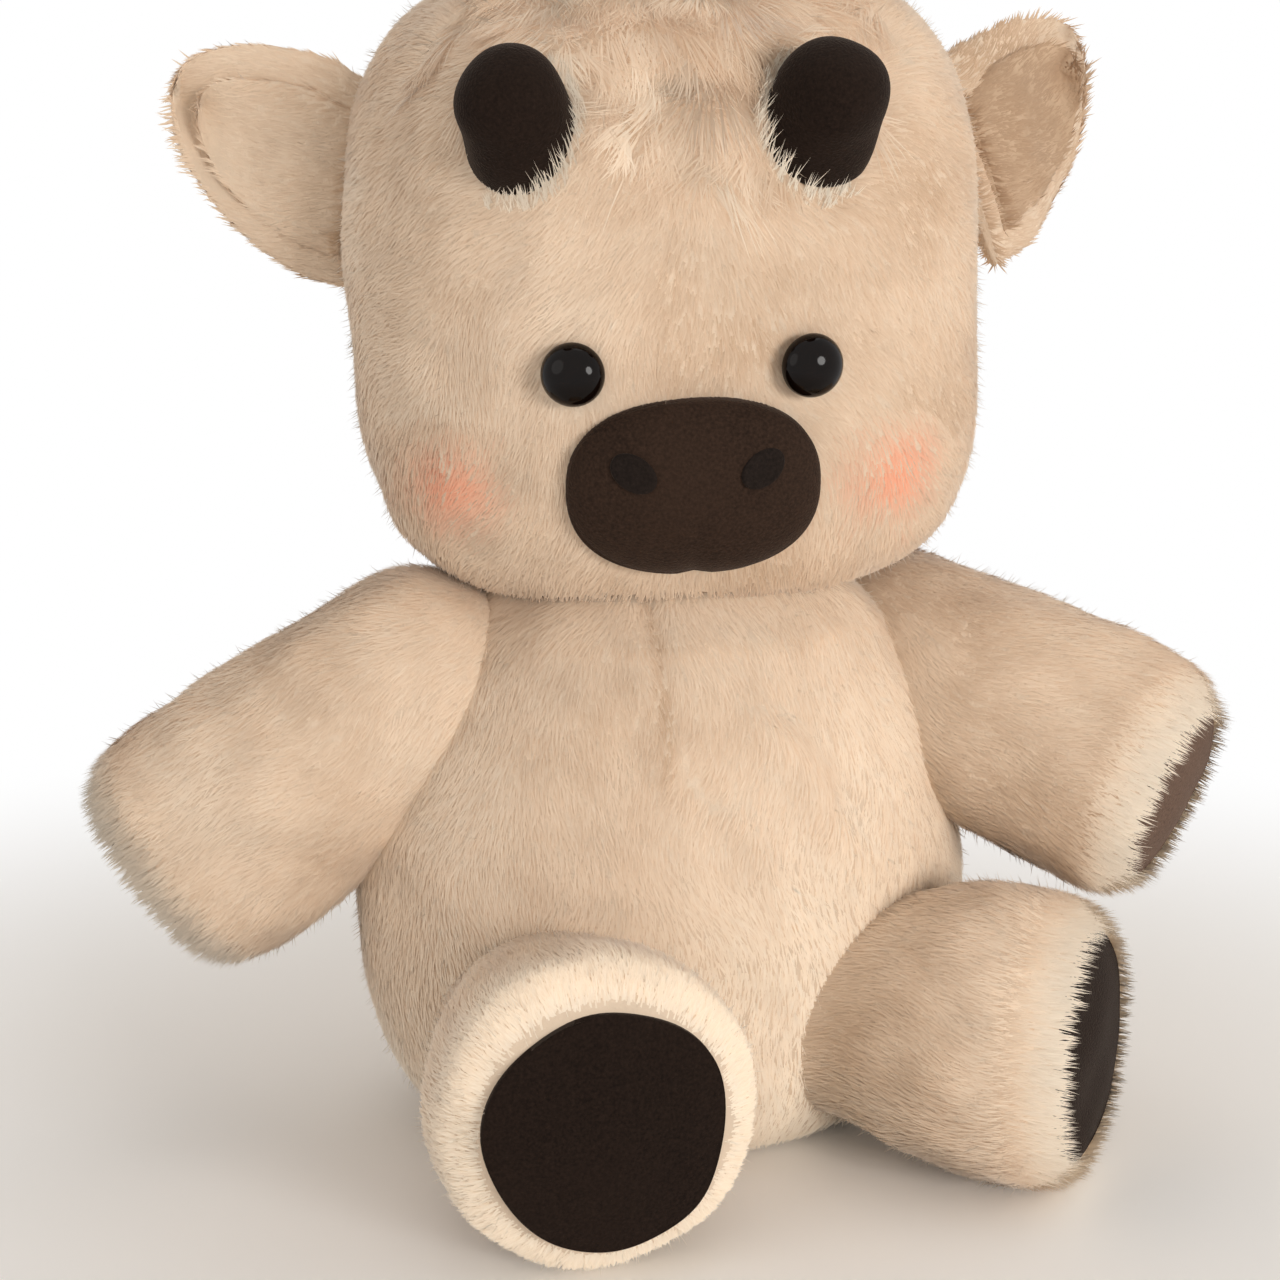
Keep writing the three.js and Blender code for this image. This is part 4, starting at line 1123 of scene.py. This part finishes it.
class COW_OT_head(CowBuild):
    """Make the head's skin, its pile with the blushed cheeks, and the longer combed pile over the crown."""

    bl_idname = "cow.head"
    bl_label = "Head"

    def execute(self, context):
        skin = self.skin()
        made = skin_object("head_skin", skin, "pile_ground")
        carry(made, "head", "pile_cover", "head_cover", "head_stuffing", filling=0.85)

        roots = roots_on(skin, 41)
        roots = kept(roots, self.bare(roots["place"]))
        local = into(roots["place"], head_frame())
        self.short_pile("head_face_pile", kept(roots, local[:, 1] < 0), 42)
        self.short_pile("head_back_pile", kept(roots, local[:, 1] >= 0), 43)
        self.forelock(kept(roots, self.in_lock(local) >= 0.55))
        return {"FINISHED"}

    @staticmethod
    def skin():
        """The head's form, dented from below by the ball of the neck, with soft lumps of filling."""
        sizes = bpy.context.scene.cow_head
        half = np.array((sizes.width, sizes.depth, sizes.height)) / 2 - bpy.context.scene.cow_pile.depth
        turn = np.linspace(-math.pi / 2, math.pi / 2, 110)
        power = np.where(turn < 0, sizes.jaw_power, sizes.crown_power)
        wide = np.cos(turn) ** (2 / power)
        wide[[0, -1]] = 0
        rise = np.sign(turn) * np.abs(np.sin(turn)) ** (2 / power)
        local = ring_skin(half[0] * wide, half[1] * wide, half[2] * rise, columns=160, power=sizes.plan_power)
        skin = Skin(placed(local, head_frame()))
        skin = skin.pushed(0.9 * MM * waves(skin.points, 0.06, 44) + 0.35 * MM * waves(skin.points, 0.022, 45))
        away = skin.points - neck_place()
        gap = np.linalg.norm(away, axis=-1, keepdims=True)
        socket = bpy.context.scene.cow_body.neck_radius + 0.6 * MM
        return Skin(neck_place() + away * np.maximum(gap, socket) / gap)

    @staticmethod
    def in_lock(local):
        """How far a place is inside the forelock's region: 1 in its middle, 0 at its edge and outside."""
        half_width = box_of("forelock_panel")[0][0]
        sizes = bpy.context.scene.cow_head
        middle = np.array((0, 18 * MM - sizes.depth / 2, sizes.height / 2))
        reach = np.array((half_width + 3 * MM, 54 * MM, 46 * MM))
        ragged = 0.12 * waves(local, 0.02, 46)
        return np.clip(1.55 - np.linalg.norm((local - middle) / reach, axis=1) + ragged, 0, 1)

    @staticmethod
    def bare(place):
        """False where pile would grow in the neck, a horn, an eye or the muzzle."""
        face = bpy.context.scene.cow_face
        gap = np.linalg.norm(place - neck_place(), axis=1)
        keep = (gap > bpy.context.scene.cow_body.neck_radius + 1.2 * MM) | ~inside_body(place, 2.5 * MM)
        local = into(place, head_frame())
        front = local[:, 1] < 0
        for sign in SIDES.values():
            eye = np.hypot(local[:, 0] - sign * face.eye_spacing / 2, local[:, 2] + face.eye_drop)
            keep &= ~(front & (eye < face.eye_diameter / 2 - 0.3 * MM))
            horn = into(place, horn_frame(sign))
            keep &= np.hypot(horn[:, 0], horn[:, 1]) > face.horn_diameter / 2 - 2 * MM
        across = local[:, 0] / (face.muzzle_width / 2 - 1.5 * MM)
        up = (local[:, 2] + face.muzzle_drop) / (face.muzzle_height / 2 - 1.5 * MM)
        return keep & ~(front & (np.hypot(across, up) < 1))

    @staticmethod
    def short_pile(name, roots, seed):
        """Short pile combed outward from the brow, with the blush on the cheeks."""
        face = bpy.context.scene.cow_face
        local = into(roots["place"], head_frame())
        brow = placed(np.array((0, -0.05, 0.045)), head_frame())
        comb = swirl(roots, flat_to(unit(roots["place"] - brow), roots["normal"]), 0.035, 0.4, seed)
        blush = np.zeros(len(local))
        for sign in SIDES.values():
            across = local[:, 0] - face.blush_shift - sign * face.blush_spacing / 2
            gap = np.hypot(across, local[:, 2] + face.blush_drop)
            soft = gap * (1 + 0.15 * waves(local, 0.015, 47))
            blush = np.maximum(blush, 0.85 * bump(soft, face.blush_radius) * (local[:, 1] < 0))
        blush[blush < 0.04] = 0
        # painted shade and light: the front of the face is painted darker, and lighter toward the cow's right side,
        # away from the key lamp
        tint = tint_at(roots["place"], 48) + (0.16 * ease(-local[:, 0] / 0.06) - 0.14) * ease(-local[:, 1] / 0.03)
        carry(pile_object(name, roots, comb, seed, tint=tint, blush=blush), "head", "pile_cover")

    @staticmethod
    def forelock(roots):
        """Long pile over the forehead and crown, combed down from the crown in loose swirls and clumps."""
        crown = placed(np.array((0.004, 0.012, 0.075)), head_frame())
        comb = flat_to(unit(roots["place"] - crown), roots["normal"])
        comb = swirl(roots, swirl(roots, comb, 0.03, 0.9, 51), 0.012, 0.6, 52)
        wisps = np.maximum(waves(roots["place"], 0.014, 55), 0)
        # painted shade: the forelock's pile is painted darker overall, to dim the forehead and crown where the lamps
        # fall strongest
        tint = tint_at(roots["place"], 54) - 0.13 + 0.22 * wisps
        made = pile_object(
            "forelock_pile", roots, comb, 53, bpy.context.scene.cow_pile.long_strand, tint=tint, fuzz=0.1, lift=0.34,
            bend=0.95, clump=0.012, pull=0.6, stray=0.12, segments=3, brushed=0.32, brush=0.016)
        carry(made, "head", "long_pile", "forelock_panel")


def horn_frame(sign):
    """A horn's frame: out of the brow, leaning forward and a little outward, in world coordinates."""
    face = bpy.context.scene.cow_face
    across = sign * face.horn_spacing / 2 + face.horn_shift
    here = into(face_place(np.array(across), np.array(face.horn_rise)), head_frame())
    direction = np.array((
        sign * math.sin(face.horn_splay), -math.sin(face.horn_lean), math.cos(face.horn_lean)))
    return head_frame() @ frame_along(direction, BACKWARD, here)


class COW_OT_horns(CowBuild):
    """Make the two stuffed suede horns."""

    bl_idname = "cow.horns"
    bl_label = "Horns"

    def execute(self, context):
        face = context.scene.cow_face
        radius, top = face.horn_diameter / 2, face.horn_length
        shoulder = top - radius
        turn = np.linspace(0, math.pi / 2, 26)
        wide = radius * np.cos(turn) ** (2 / SOFT_SQUARE)
        low = np.linspace(-face.horn_root, shoulder, 20)[:-1]
        belly = radius * (1 + 0.02 * np.sin(math.pi * (low + face.horn_root) / (shoulder + face.horn_root)))
        height = np.concatenate(([-face.horn_root], low, mix(shoulder, top, np.sin(turn))))
        across = np.concatenate(([0], belly, wide))
        across[-1] = 0
        for side, sign in SIDES.items():
            local = ring_skin(across, across, height, columns=72)
            skin = Skin(placed(local, horn_frame(sign)))
            skin = skin.pushed(0.35 * MM * waves(skin.points, 0.014, 61) - 0.2 * MM)
            made = skin_object(f"horn_{side}", skin, "suede")
            carry(made, "head", "brown_suede", f"horn_{side}_cover", f"horn_{side}_stuffing", filling=0.8)
            self.tufts(side, sign)
        return {"FINISHED"}

    @staticmethod
    def tufts(side, sign):
        """Long tufts from the head's pile that lie up over the inner and lower edge of a horn."""
        radius = bpy.context.scene.cow_face.horn_diameter / 2
        roots = roots_on(COW_OT_head.skin(), 62, 1.2)
        matrix = horn_frame(sign)
        axis, head = matrix[:3, 2], head_frame()
        offset = roots["place"] - matrix[:3, 3]
        along = offset @ axis
        offset = offset - along[:, None] * axis
        gap = np.linalg.norm(offset, axis=1)
        inner = unit(offset) @ unit(-sign * head[:3, 0] - 0.9 * head[:3, 2])
        near = (gap > radius + 0.2 * MM) & (gap < radius + 2.6 * MM) & (inner > -0.05) & (np.abs(along) < 14 * MM)
        roots, offset, inner = kept(roots, near), offset[near], inner[near]
        toward = axis - unit(offset) * 0.14
        tufts = spikes(roots, toward, mix(5 * MM, 10 * MM, ease(inner)), 0.4 * MM, 63, tint=0.9, clump=0.0035,
                       pull=0.5, stray=0.13)
        carry(tufts_object(f"horn_{side}_tufts", [tufts]), "head", "long_pile")


class COW_OT_muzzle(CowBuild):
    """Make the padded suede muzzle with its notch, and the two nostril patches."""

    bl_idname = "cow.muzzle"
    bl_label = "Muzzle"

    def execute(self, context):
        face = context.scene.cow_face
        reach, back, turn = disc(12, np.cos(np.linspace(0, math.pi / 2, 40)), 128)
        shape = rounded(turn, SOFT_SQUARE)
        notch = 1 - 0.035 * bump((turn - 1.5 * math.pi) * face.muzzle_width / 2, 1.6 * MM)
        across = face.muzzle_width / 2 * reach * shape[0] * notch
        rise = face.muzzle_height / 2 * reach * shape[1] * notch - face.muzzle_drop
        sunk = 2.5 * MM
        out = np.where(back, -sunk, self.crown(reach) - sunk * (reach > 0.999))
        middle = bump(across, 2.2 * MM) * ease((-face.muzzle_drop - 4 * MM - rise) / (10 * MM))
        out = out - 0.7 * MM * middle * ~back
        skin = Skin(face_place(across, rise, out))
        skin = skin.pushed(0.3 * MM * waves(skin.points, 0.02, 71) * (reach < 0.98))
        carry(skin_object("muzzle", skin, "muzzle_suede"), "head", "brown_suede", "muzzle_panel", filling=0.7)
        for side, sign in SIDES.items():
            self.nostril(side, sign, face)
        return {"FINISHED"}

    @staticmethod
    def crown(share):
        """How far the muzzle stands out at a share of the way from its middle to its edge: bulge * (1 - s^2)^0.45."""
        return np.sqrt(np.maximum(1 - share**2, 0)) ** 0.9 * bpy.context.scene.cow_face.muzzle_bulge

    def nostril(self, side, sign, face):
        """An oval patch, a little dished, that follows the crown of the muzzle."""
        middle = (sign * face.nostril_spacing / 2, face.nostril_rise - face.muzzle_drop)
        reach, back, turn = disc(6, np.linspace(1, 0, 14), 48)
        long, short = face.nostril_length / 2 * reach, face.nostril_width / 2 * reach
        lean = sign * face.nostril_tilt
        across = middle[0] + long * np.cos(turn) * math.cos(lean) - short * np.sin(turn) * math.sin(lean)
        rise = middle[1] + long * np.cos(turn) * math.sin(lean) + short * np.sin(turn) * math.cos(lean)
        x, y = np.abs(2 * across / face.muzzle_width), np.abs(2 * (rise + face.muzzle_drop) / face.muzzle_height)
        crown = self.crown((x**SOFT_SQUARE + y**SOFT_SQUARE) ** (1 / SOFT_SQUARE))
        lip = 0.4 * MM * bump(reach - 0.8, 0.25) + 0.45 * MM * (reach < 0.97)
        skin = Skin(face_place(across, rise, crown + np.where(back, -1 * MM, lip)))
        made = skin_object(f"nostril_{side}_patch", skin, "nostril_suede")
        carry(made, "head", "nostril_cloth", f"nostril_{side}")


class COW_OT_eyes(CowBuild):
    """Make the two button eyes, and give the lock washers behind them their finish."""

    bl_idname = "cow.eyes"
    bl_label = "Eyes"

    def execute(self, context):
        face = context.scene.cow_face
        radius, stem = face.eye_diameter / 2, face.shank_diameter / 2
        turn = np.linspace(0, math.pi / 2, 28)
        rim = 0.35 * MM
        across = np.concatenate(([0, stem, stem, radius - rim, radius], radius * np.cos(turn)[1:]))
        seated = -0.1 * MM
        low = (-face.shank_length, -face.shank_length, seated, seated, rim)
        height = np.concatenate((low, rim + (face.eye_bulge - rim) * np.sin(turn)[1:]))
        across[-1] = 0
        for side, sign in SIDES.items():
            local = ring_skin(across, across, height, columns=64)
            seat = face_frame(sign * face.eye_spacing / 2, -face.eye_drop)
            made = skin_object(f"eye_{side}_button", Skin(placed(local, seat)), "button_gloss")
            carry(made, "head", "eye_gloss", f"eye_{side}")
            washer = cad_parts[f"eye_washer_{side}"]
            washer.data.materials.clear()
            washer.data.materials.append(finish_of("lock_plastic"))
        return {"FINISHED"}


def ear_frame(side):
    """An ear's frame: out of the side of the head, pointing up and folded back, in world coordinates."""
    sizes, head = bpy.context.scene.cow_ears, bpy.context.scene.cow_head
    sign = SIDES[side]
    level = float(head_level(2 * sizes.root_rise / head.height, False))
    up, back = getattr(sizes, f"{side}_up"), getattr(sizes, f"{side}_back")
    direction = np.array((sign * math.cos(up), 0, math.sin(up)))
    root = (sign * (head.width / 2 * level + sizes.standoff), 0, sizes.root_rise)
    return head_frame() @ frame_along(direction, BACKWARD, root) @ rotation(-back, "X")


def ear_skin(side, grow, size_share=1.0, push=(0, 0, 0)):
    """A leaf from its seam to its tip: half height h sin(pi s)^0.5, cupped and curled forward and swept up."""
    sizes = bpy.context.scene.cow_ears
    half = sizes.thickness / 2 + grow
    reach = sizes.length * size_share + grow
    high = sizes.height / 2 * size_share + grow

    def outline(share):
        """Half height of the ear at a share of the way to its tip."""
        return high * np.maximum(np.sin(math.pi * mix(0.46, 1, share)), 0) ** 0.5

    sunk = np.array((1, 1, 0.8, 0.6, 0.4, 0.2))
    share = np.linspace(0, 1, 40)
    thin = np.sqrt(np.maximum(1 - share**3, 0)) * mix(1, 0.7, share)
    turned = ease(share)
    across = np.concatenate((outline(0) * (1 - 0.2 * sunk), outline(share)))
    deep = np.concatenate((half * (1 - 0.2 * sunk), half * thin))
    height = np.concatenate((-sizes.root_sunk * sunk, reach * share))
    middle = np.concatenate((0 * sunk, sizes.cup * turned - sizes.curl * share**2))
    cup = np.concatenate((0 * sunk, sizes.cup * turned))
    across[[0, -1]], deep[[0, -1]] = 0, 0
    local = ring_skin(across, deep, height, columns=72, power=2.3, middle_y=middle, cup=cup)
    local[[0, -1]] = local[[0, -1], :1]
    lower = SIDES[side] * local[..., 0]
    flare = np.maximum(1 - local[..., 2] / (0.4 * reach), 0) ** 1.5 * ease(lower / high)
    swept = np.concatenate((0 * sunk, sizes.sweep * size_share * share**2))
    local[..., 0] += SIDES[side] * (sizes.flare * size_share * np.minimum(flare, 2.5) - swept[:, None])
    return Skin(placed(local + np.array(push), ear_frame(side)))


class COW_OT_ears(CowBuild):
    """Make the two ears, each a cupped back and a lining, with their pile."""

    bl_idname = "cow.ears"
    bl_label = "Ears"
    # how much darker each pile is: the left ear is folded away from the light
    shade = {("left", "back"): 0.22, ("left", "lining"): 0.46, ("right", "back"): 0.0, ("right", "lining"): 0.05}

    def execute(self, context):
        sizes = context.scene.cow_ears
        for side in SIDES:
            matrix = ear_frame(side)
            out, seam = matrix[:3, 2], matrix[:3, 3]
            bodies = ("head", f"ear_{side}", seam - out * 4 * MM, seam + out * 9 * MM)
            back = ear_skin(side, -1.3 * MM)
            back = back.pushed(0.4 * MM * waves(back.points, 0.02, 81))
            made = skin_object(f"ear_{side}_back_skin", back, "pile_ground")
            carry(made, bodies, "pile_cover", f"ear_{side}_back", filling=0.3)
            push = (0, -sizes.thickness * 0.22, sizes.length * 0.12)
            lining = ear_skin(side, -2.2 * MM, 0.74, push)
            # painted shade: the left ear's lining has a ground in the painted shade colours, like its pile
            made = skin_object(f"ear_{side}_lining_skin", lining, "shaded_ground" if side == "left" else "pile_ground")
            carry(made, bodies, "pile_cover", f"ear_{side}_lining")
            for name, skin, size, seed in (("back", back, 3.8 * MM, 82), ("lining", lining, 3.5 * MM, 83)):
                roots = roots_on(skin, seed, 1.1)
                keep = ~inside_head(roots["place"], -4 * MM)
                local = into(roots["place"], matrix)
                backward = roots["normal"] @ matrix[:3, 1]
                if name == "back":
                    along = (local[:, 2] / sizes.length - 0.4) / 0.42
                    under_lining = np.hypot(local[:, 0] / (sizes.height * 0.3), along) < 0.9
                    keep &= ~(under_lining & (backward < -0.2))
                else:
                    keep &= backward < 0.3
                roots = kept(roots, keep)
                comb = swirl(roots, flat_to(out, roots["normal"]), 0.03, 0.3, seed)
                tint = tint_at(roots["place"], 84) - self.shade[side, name]
                made = pile_object(
                    f"ear_{side}_{name}_pile", roots, comb, seed, size, tint=tint, fuzz=0.02, lift=0.2)
                carry(made, bodies, "pile_cover")
        return {"FINISHED"}


# painted light: how much lighter the legs' pile is painted toward the foot pad, where the lamps give the feet too
# little light
PAINTED_PAW_LIGHT = {"leg_right": 0.45, "leg_left": 0.15}


class COW_OT_limbs(CowBuild):
    """Make the arms and legs: their skins, pile and suede pads."""

    bl_idname = "cow.limbs"
    bl_label = "Arms and legs"

    def execute(self, context):
        pile = context.scene.cow_pile
        for number, limb in enumerate(all_limbs()):
            seed = 100 + 10 * number
            profile = limb.profile(-pile.depth)
            local = ring_skin(profile[:, 0], profile[:, 1], profile[:, 2], columns=96)
            pad = np.hypot(local[..., 0] / limb.pad_half[0], local[..., 1] / limb.pad_half[1])
            end = local[..., 2] > limb.length - pile.depth - 1 * MM
            local[..., 2] += np.where(end & (pad < 1), 1.2 * MM * (1 - pad**2), 0)
            skin = Skin(placed(local, limb.frame))
            lumps = 0.8 * MM * waves(skin.points, 0.045, seed) + 0.3 * MM * waves(skin.points, 0.018, seed + 1)
            skin = skin.pushed(lumps * onset(pad, 1, 0.2))
            skin.points[..., 2] = np.maximum(skin.points[..., 2], SKIN_FLOOR)
            skin = Skin(skin.points)
            made = skin_object(f"{limb.name}_skin", skin, "pile_ground")
            reach = limb.direction * limb.root
            bodies = ("body", limb.name, limb.seam - 0.4 * reach, limb.seam + 0.9 * reach)
            carry(made, bodies, "pile_cover", f"{limb.name}_cover", f"{limb.name}_stuffing", filling=0.75)
            self.pile(limb, skin, bodies, seed + 2)
            self.pad(limb, seed + 5)
        return {"FINISHED"}

    @staticmethod
    def pile(limb, skin, bodies, seed):
        """Short pile along the limb, painted lighter toward the pad on the legs and darker toward the hand on the arms
        as painted light and shade, and a cuff of longer tufts, painted lighter toward its tips, that leans out past the
        edge.

        An arm's pile is combed to the hand and a leg's to the hip. Over the rounded edge it bends down with the skin,
        and round the pad it is combed away from it.
        """
        pile = bpy.context.scene.cow_pile
        depth, size, width = pile.depth, pile.strand_length, pile.strand_width

        def grown(share, number):
            """Roots, how far past the end each is, its share of the way to the pad's rim, and which aren't hidden."""
            roots = roots_on(skin, number, share)
            local = into(roots["place"], limb.frame)
            pad = np.hypot(local[:, 0] / limb.pad_half[0], local[:, 1] / limb.pad_half[1])
            keep = ~inside_body(roots["place"], -depth - HIDDEN) & ~inside_head(roots["place"], -depth)
            return roots, local[:, 2] - limb.length, pad, keep & (roots["place"][:, 2] > 1.0 * MM)

        roots, beyond, pad, keep = grown(1.0, seed)
        face = -depth - 3 * MM
        keep &= (beyond < face) | (pad > (1.05 if limb.is_arm else 0.99))
        roots, beyond, pad = kept(roots, keep), beyond[keep], pad[keep]
        way = np.where((beyond > face) & (pad < 1.6) | (not limb.is_arm), -1, 1)[:, None]
        comb = swirl(roots, roots["along"] * way, 0.035, 0.3, seed)
        edge = onset(beyond, -17 * MM, 6 * MM)
        # painted light and shade: lighter toward the pad on the legs, and darker toward the hand on the arms (-0.18)
        paw = onset(beyond, -30 * MM, 24 * MM) * PAINTED_PAW_LIGHT.get(limb.name, -0.18)
        tint = tint_at(roots["place"], 14) + paw
        lying = blades(roots, comb, size, width, seed, tint=tint, clump=pile.clump,
                       lift=mix(0.3, 0.22, edge), bend=mix(0.9, 1.5, edge))
        up = np.random.default_rng(seed + 5).random(len(tint)) < 0.05
        few = kept(roots, up)
        # painted light: the standing spikes are painted lighter, to make up for their faces turned from the lamps
        fuzz = spikes(few, few["normal"] + 0.7 * comb[up], size * 0.75, width * 0.5, seed + 6, tint=tint[up] + 0.1)
        roots, beyond, pad, keep = grown(2.2, seed + 7)
        smooth = limb.name == "leg_right"  # the foot that is brushed flat
        near = keep & (pad > 1.04)
        near &= np.random.default_rng(seed + 9).random(len(near)) < onset(beyond, -17 * MM, 9 * MM)
        ring = kept(roots, near)
        share = onset(beyond[near], -14 * MM, 11 * MM)
        cuff, way, rise, bent = pile.cuff, 1, 0.85, 0
        if smooth:
            cuff, way, rise, bent = 0.65 * cuff, -1, 0.3, 0.9
        # painted light: the cuff is painted lighter toward its tips, to make up for tufts that shade grey
        stand = blades(ring, ring["along"] * way, mix(0.65, 1, share) * cuff, 0.46 * MM, seed + 8,
                       tint=mix(tint_at(ring["place"], 14) + (PAINTED_PAW_LIGHT[limb.name] if smooth else 0), 0.9, share),
                       lift=mix(0.25, rise, share), bend=bent, clump=0.0034, pull=0.3, stray=0.16)
        stand["normals"] = unit(stand["normals"] + share[:, None] * limb.direction)
        carry(tufts_object(f"{limb.name}_pile", [lying, fuzz, stand]), bodies, "pile_cover")

    @staticmethod
    def pad(limb, seed):
        """A crowned suede disc let into the end: an ellipse whose height is crown * (1 - r^2), and a thin back."""
        reach, back, turn = disc(6, np.cos(np.linspace(0, math.pi / 2, 24)), 96)
        wobble = 1 + 0.02 * np.sin(3 * turn + seed) + 0.014 * np.sin(5 * turn + 2 * seed)
        x = limb.pad_half[0] * reach * np.cos(turn) * wobble
        y = limb.pad_half[1] * reach * np.sin(turn) * wobble
        crown = limb.length - 0.9 * MM + 2.2 * MM * (1 - reach**2)
        z = np.where(back, limb.length - 3.6 * MM, crown) + 0 * x
        skin = Skin(placed(np.stack((x, y, z), axis=-1), limb.frame))
        skin = skin.pushed(0.25 * MM * waves(skin.points, 0.016, seed))
        made = skin_object(f"{limb.pad}_suede", skin, "hand_suede" if limb.is_arm else "suede")
        carry(made, limb.name, "brown_suede", limb.pad)


class COW_OT_tail(CowBuild):
    """Make the tail's tube and its tuft."""

    bl_idname = "cow.tail"
    bl_label = "Tail"

    def execute(self, context):
        sizes, body = context.scene.cow_limbs, context.scene.cow_body
        droop = sizes.tail_droop
        stand = body.depth / 2 + 0.4 * MM + sizes.tail_root_radius
        direction = np.array((0, math.cos(droop), -math.sin(droop)))
        matrix = body_frame() @ frame_along(direction, UPWARD, (0, stand, sizes.tail_height))
        out, seam = matrix[:3, 2], matrix[:3, 3]
        bending = ("body", "tail", seam - out * sizes.tail_root_radius, seam + out * 8 * MM)
        # radius and place along the tail, in millimetres; the tuft's places are from its middle
        tube = ((0, -9), (3.4, -8), (3.0, -2), (2.4, 6), (2.2, 18), (2.4, 26), (0, 29))
        tuft = ((0, -11), (2.2, -10), (4.6, -2), (3.6, 5), (0, 9))
        for name, stations, rows, middle, bodies, slot, filling, size, fuzz, seed in (
            ("tail_tube", tube, 40, 0, bending, "pile_cover", 0.6, 3.2 * MM, 0.08, 91),
            ("tail_tuft", tuft, 32, sizes.tail_length, "tail", "long_pile", 0, 10 * MM, 0.7, 93),
        ):
            run = through(np.array(stations) * MM + (0, middle), rows)
            run[[0, -1], 0] = 0
            skin = Skin(placed(ring_skin(run[:, 0], run[:, 0], run[:, 1], columns=32), matrix))
            carry(skin_object(f"{name}_skin", skin, "pile_ground"), bodies, slot, name, filling=filling)
            roots = roots_on(skin, seed, 2.2)
            roots = kept(roots, ~inside_body(roots["place"], -3 * MM))
            made = pile_object(
                f"{name}_pile", roots, roots["along"], seed, size, tint=tint_at(roots["place"], 94), fuzz=fuzz,
                lift=0.5, clump=4 * MM, segments=3)
            carry(made, bodies, slot)
        return {"FINISHED"}


class COW_PT_panel(bpy.types.Panel):
    """The operators and the sizes in the sidebar."""

    bl_label = "Plush cow"
    bl_idname = "COW_PT_panel"
    bl_space_type = "VIEW_3D"
    bl_region_type = "UI"
    bl_category = "Plush cow"

    def draw(self, context):
        for operator in OPERATORS:
            self.layout.operator(operator.bl_idname)
        for name, group in GROUPS.items():
            box = self.layout.box()
            box.label(text=group.__name__)
            for field in group.__annotations__:
                box.prop(getattr(context.scene, name), field)


OPERATORS = (
    COW_OT_stage, COW_OT_body, COW_OT_head, COW_OT_horns, COW_OT_muzzle, COW_OT_eyes, COW_OT_ears, COW_OT_limbs,
    COW_OT_tail,
)
CLASSES = (*GROUPS.values(), *OPERATORS, COW_PT_panel)


def register():
    """Registers the classes and puts the sizes on the scene."""
    for kind in CLASSES:
        bpy.utils.register_class(kind)
    for name, group in GROUPS.items():
        setattr(bpy.types.Scene, name, bpy.props.PointerProperty(type=group))


def unregister():
    """Takes the sizes off the scene and unregisters the classes."""
    for name in GROUPS:
        delattr(bpy.types.Scene, name)
    for kind in reversed(CLASSES):
        bpy.utils.unregister_class(kind)


def main():
    register()
    bpy.ops.cow.stage()
    bpy.ops.cow.body()
    bpy.ops.cow.head()
    bpy.ops.cow.horns()
    bpy.ops.cow.muzzle()
    bpy.ops.cow.eyes()
    bpy.ops.cow.ears()
    bpy.ops.cow.limbs()
    bpy.ops.cow.tail()


if __name__ == "__main__":
    main()
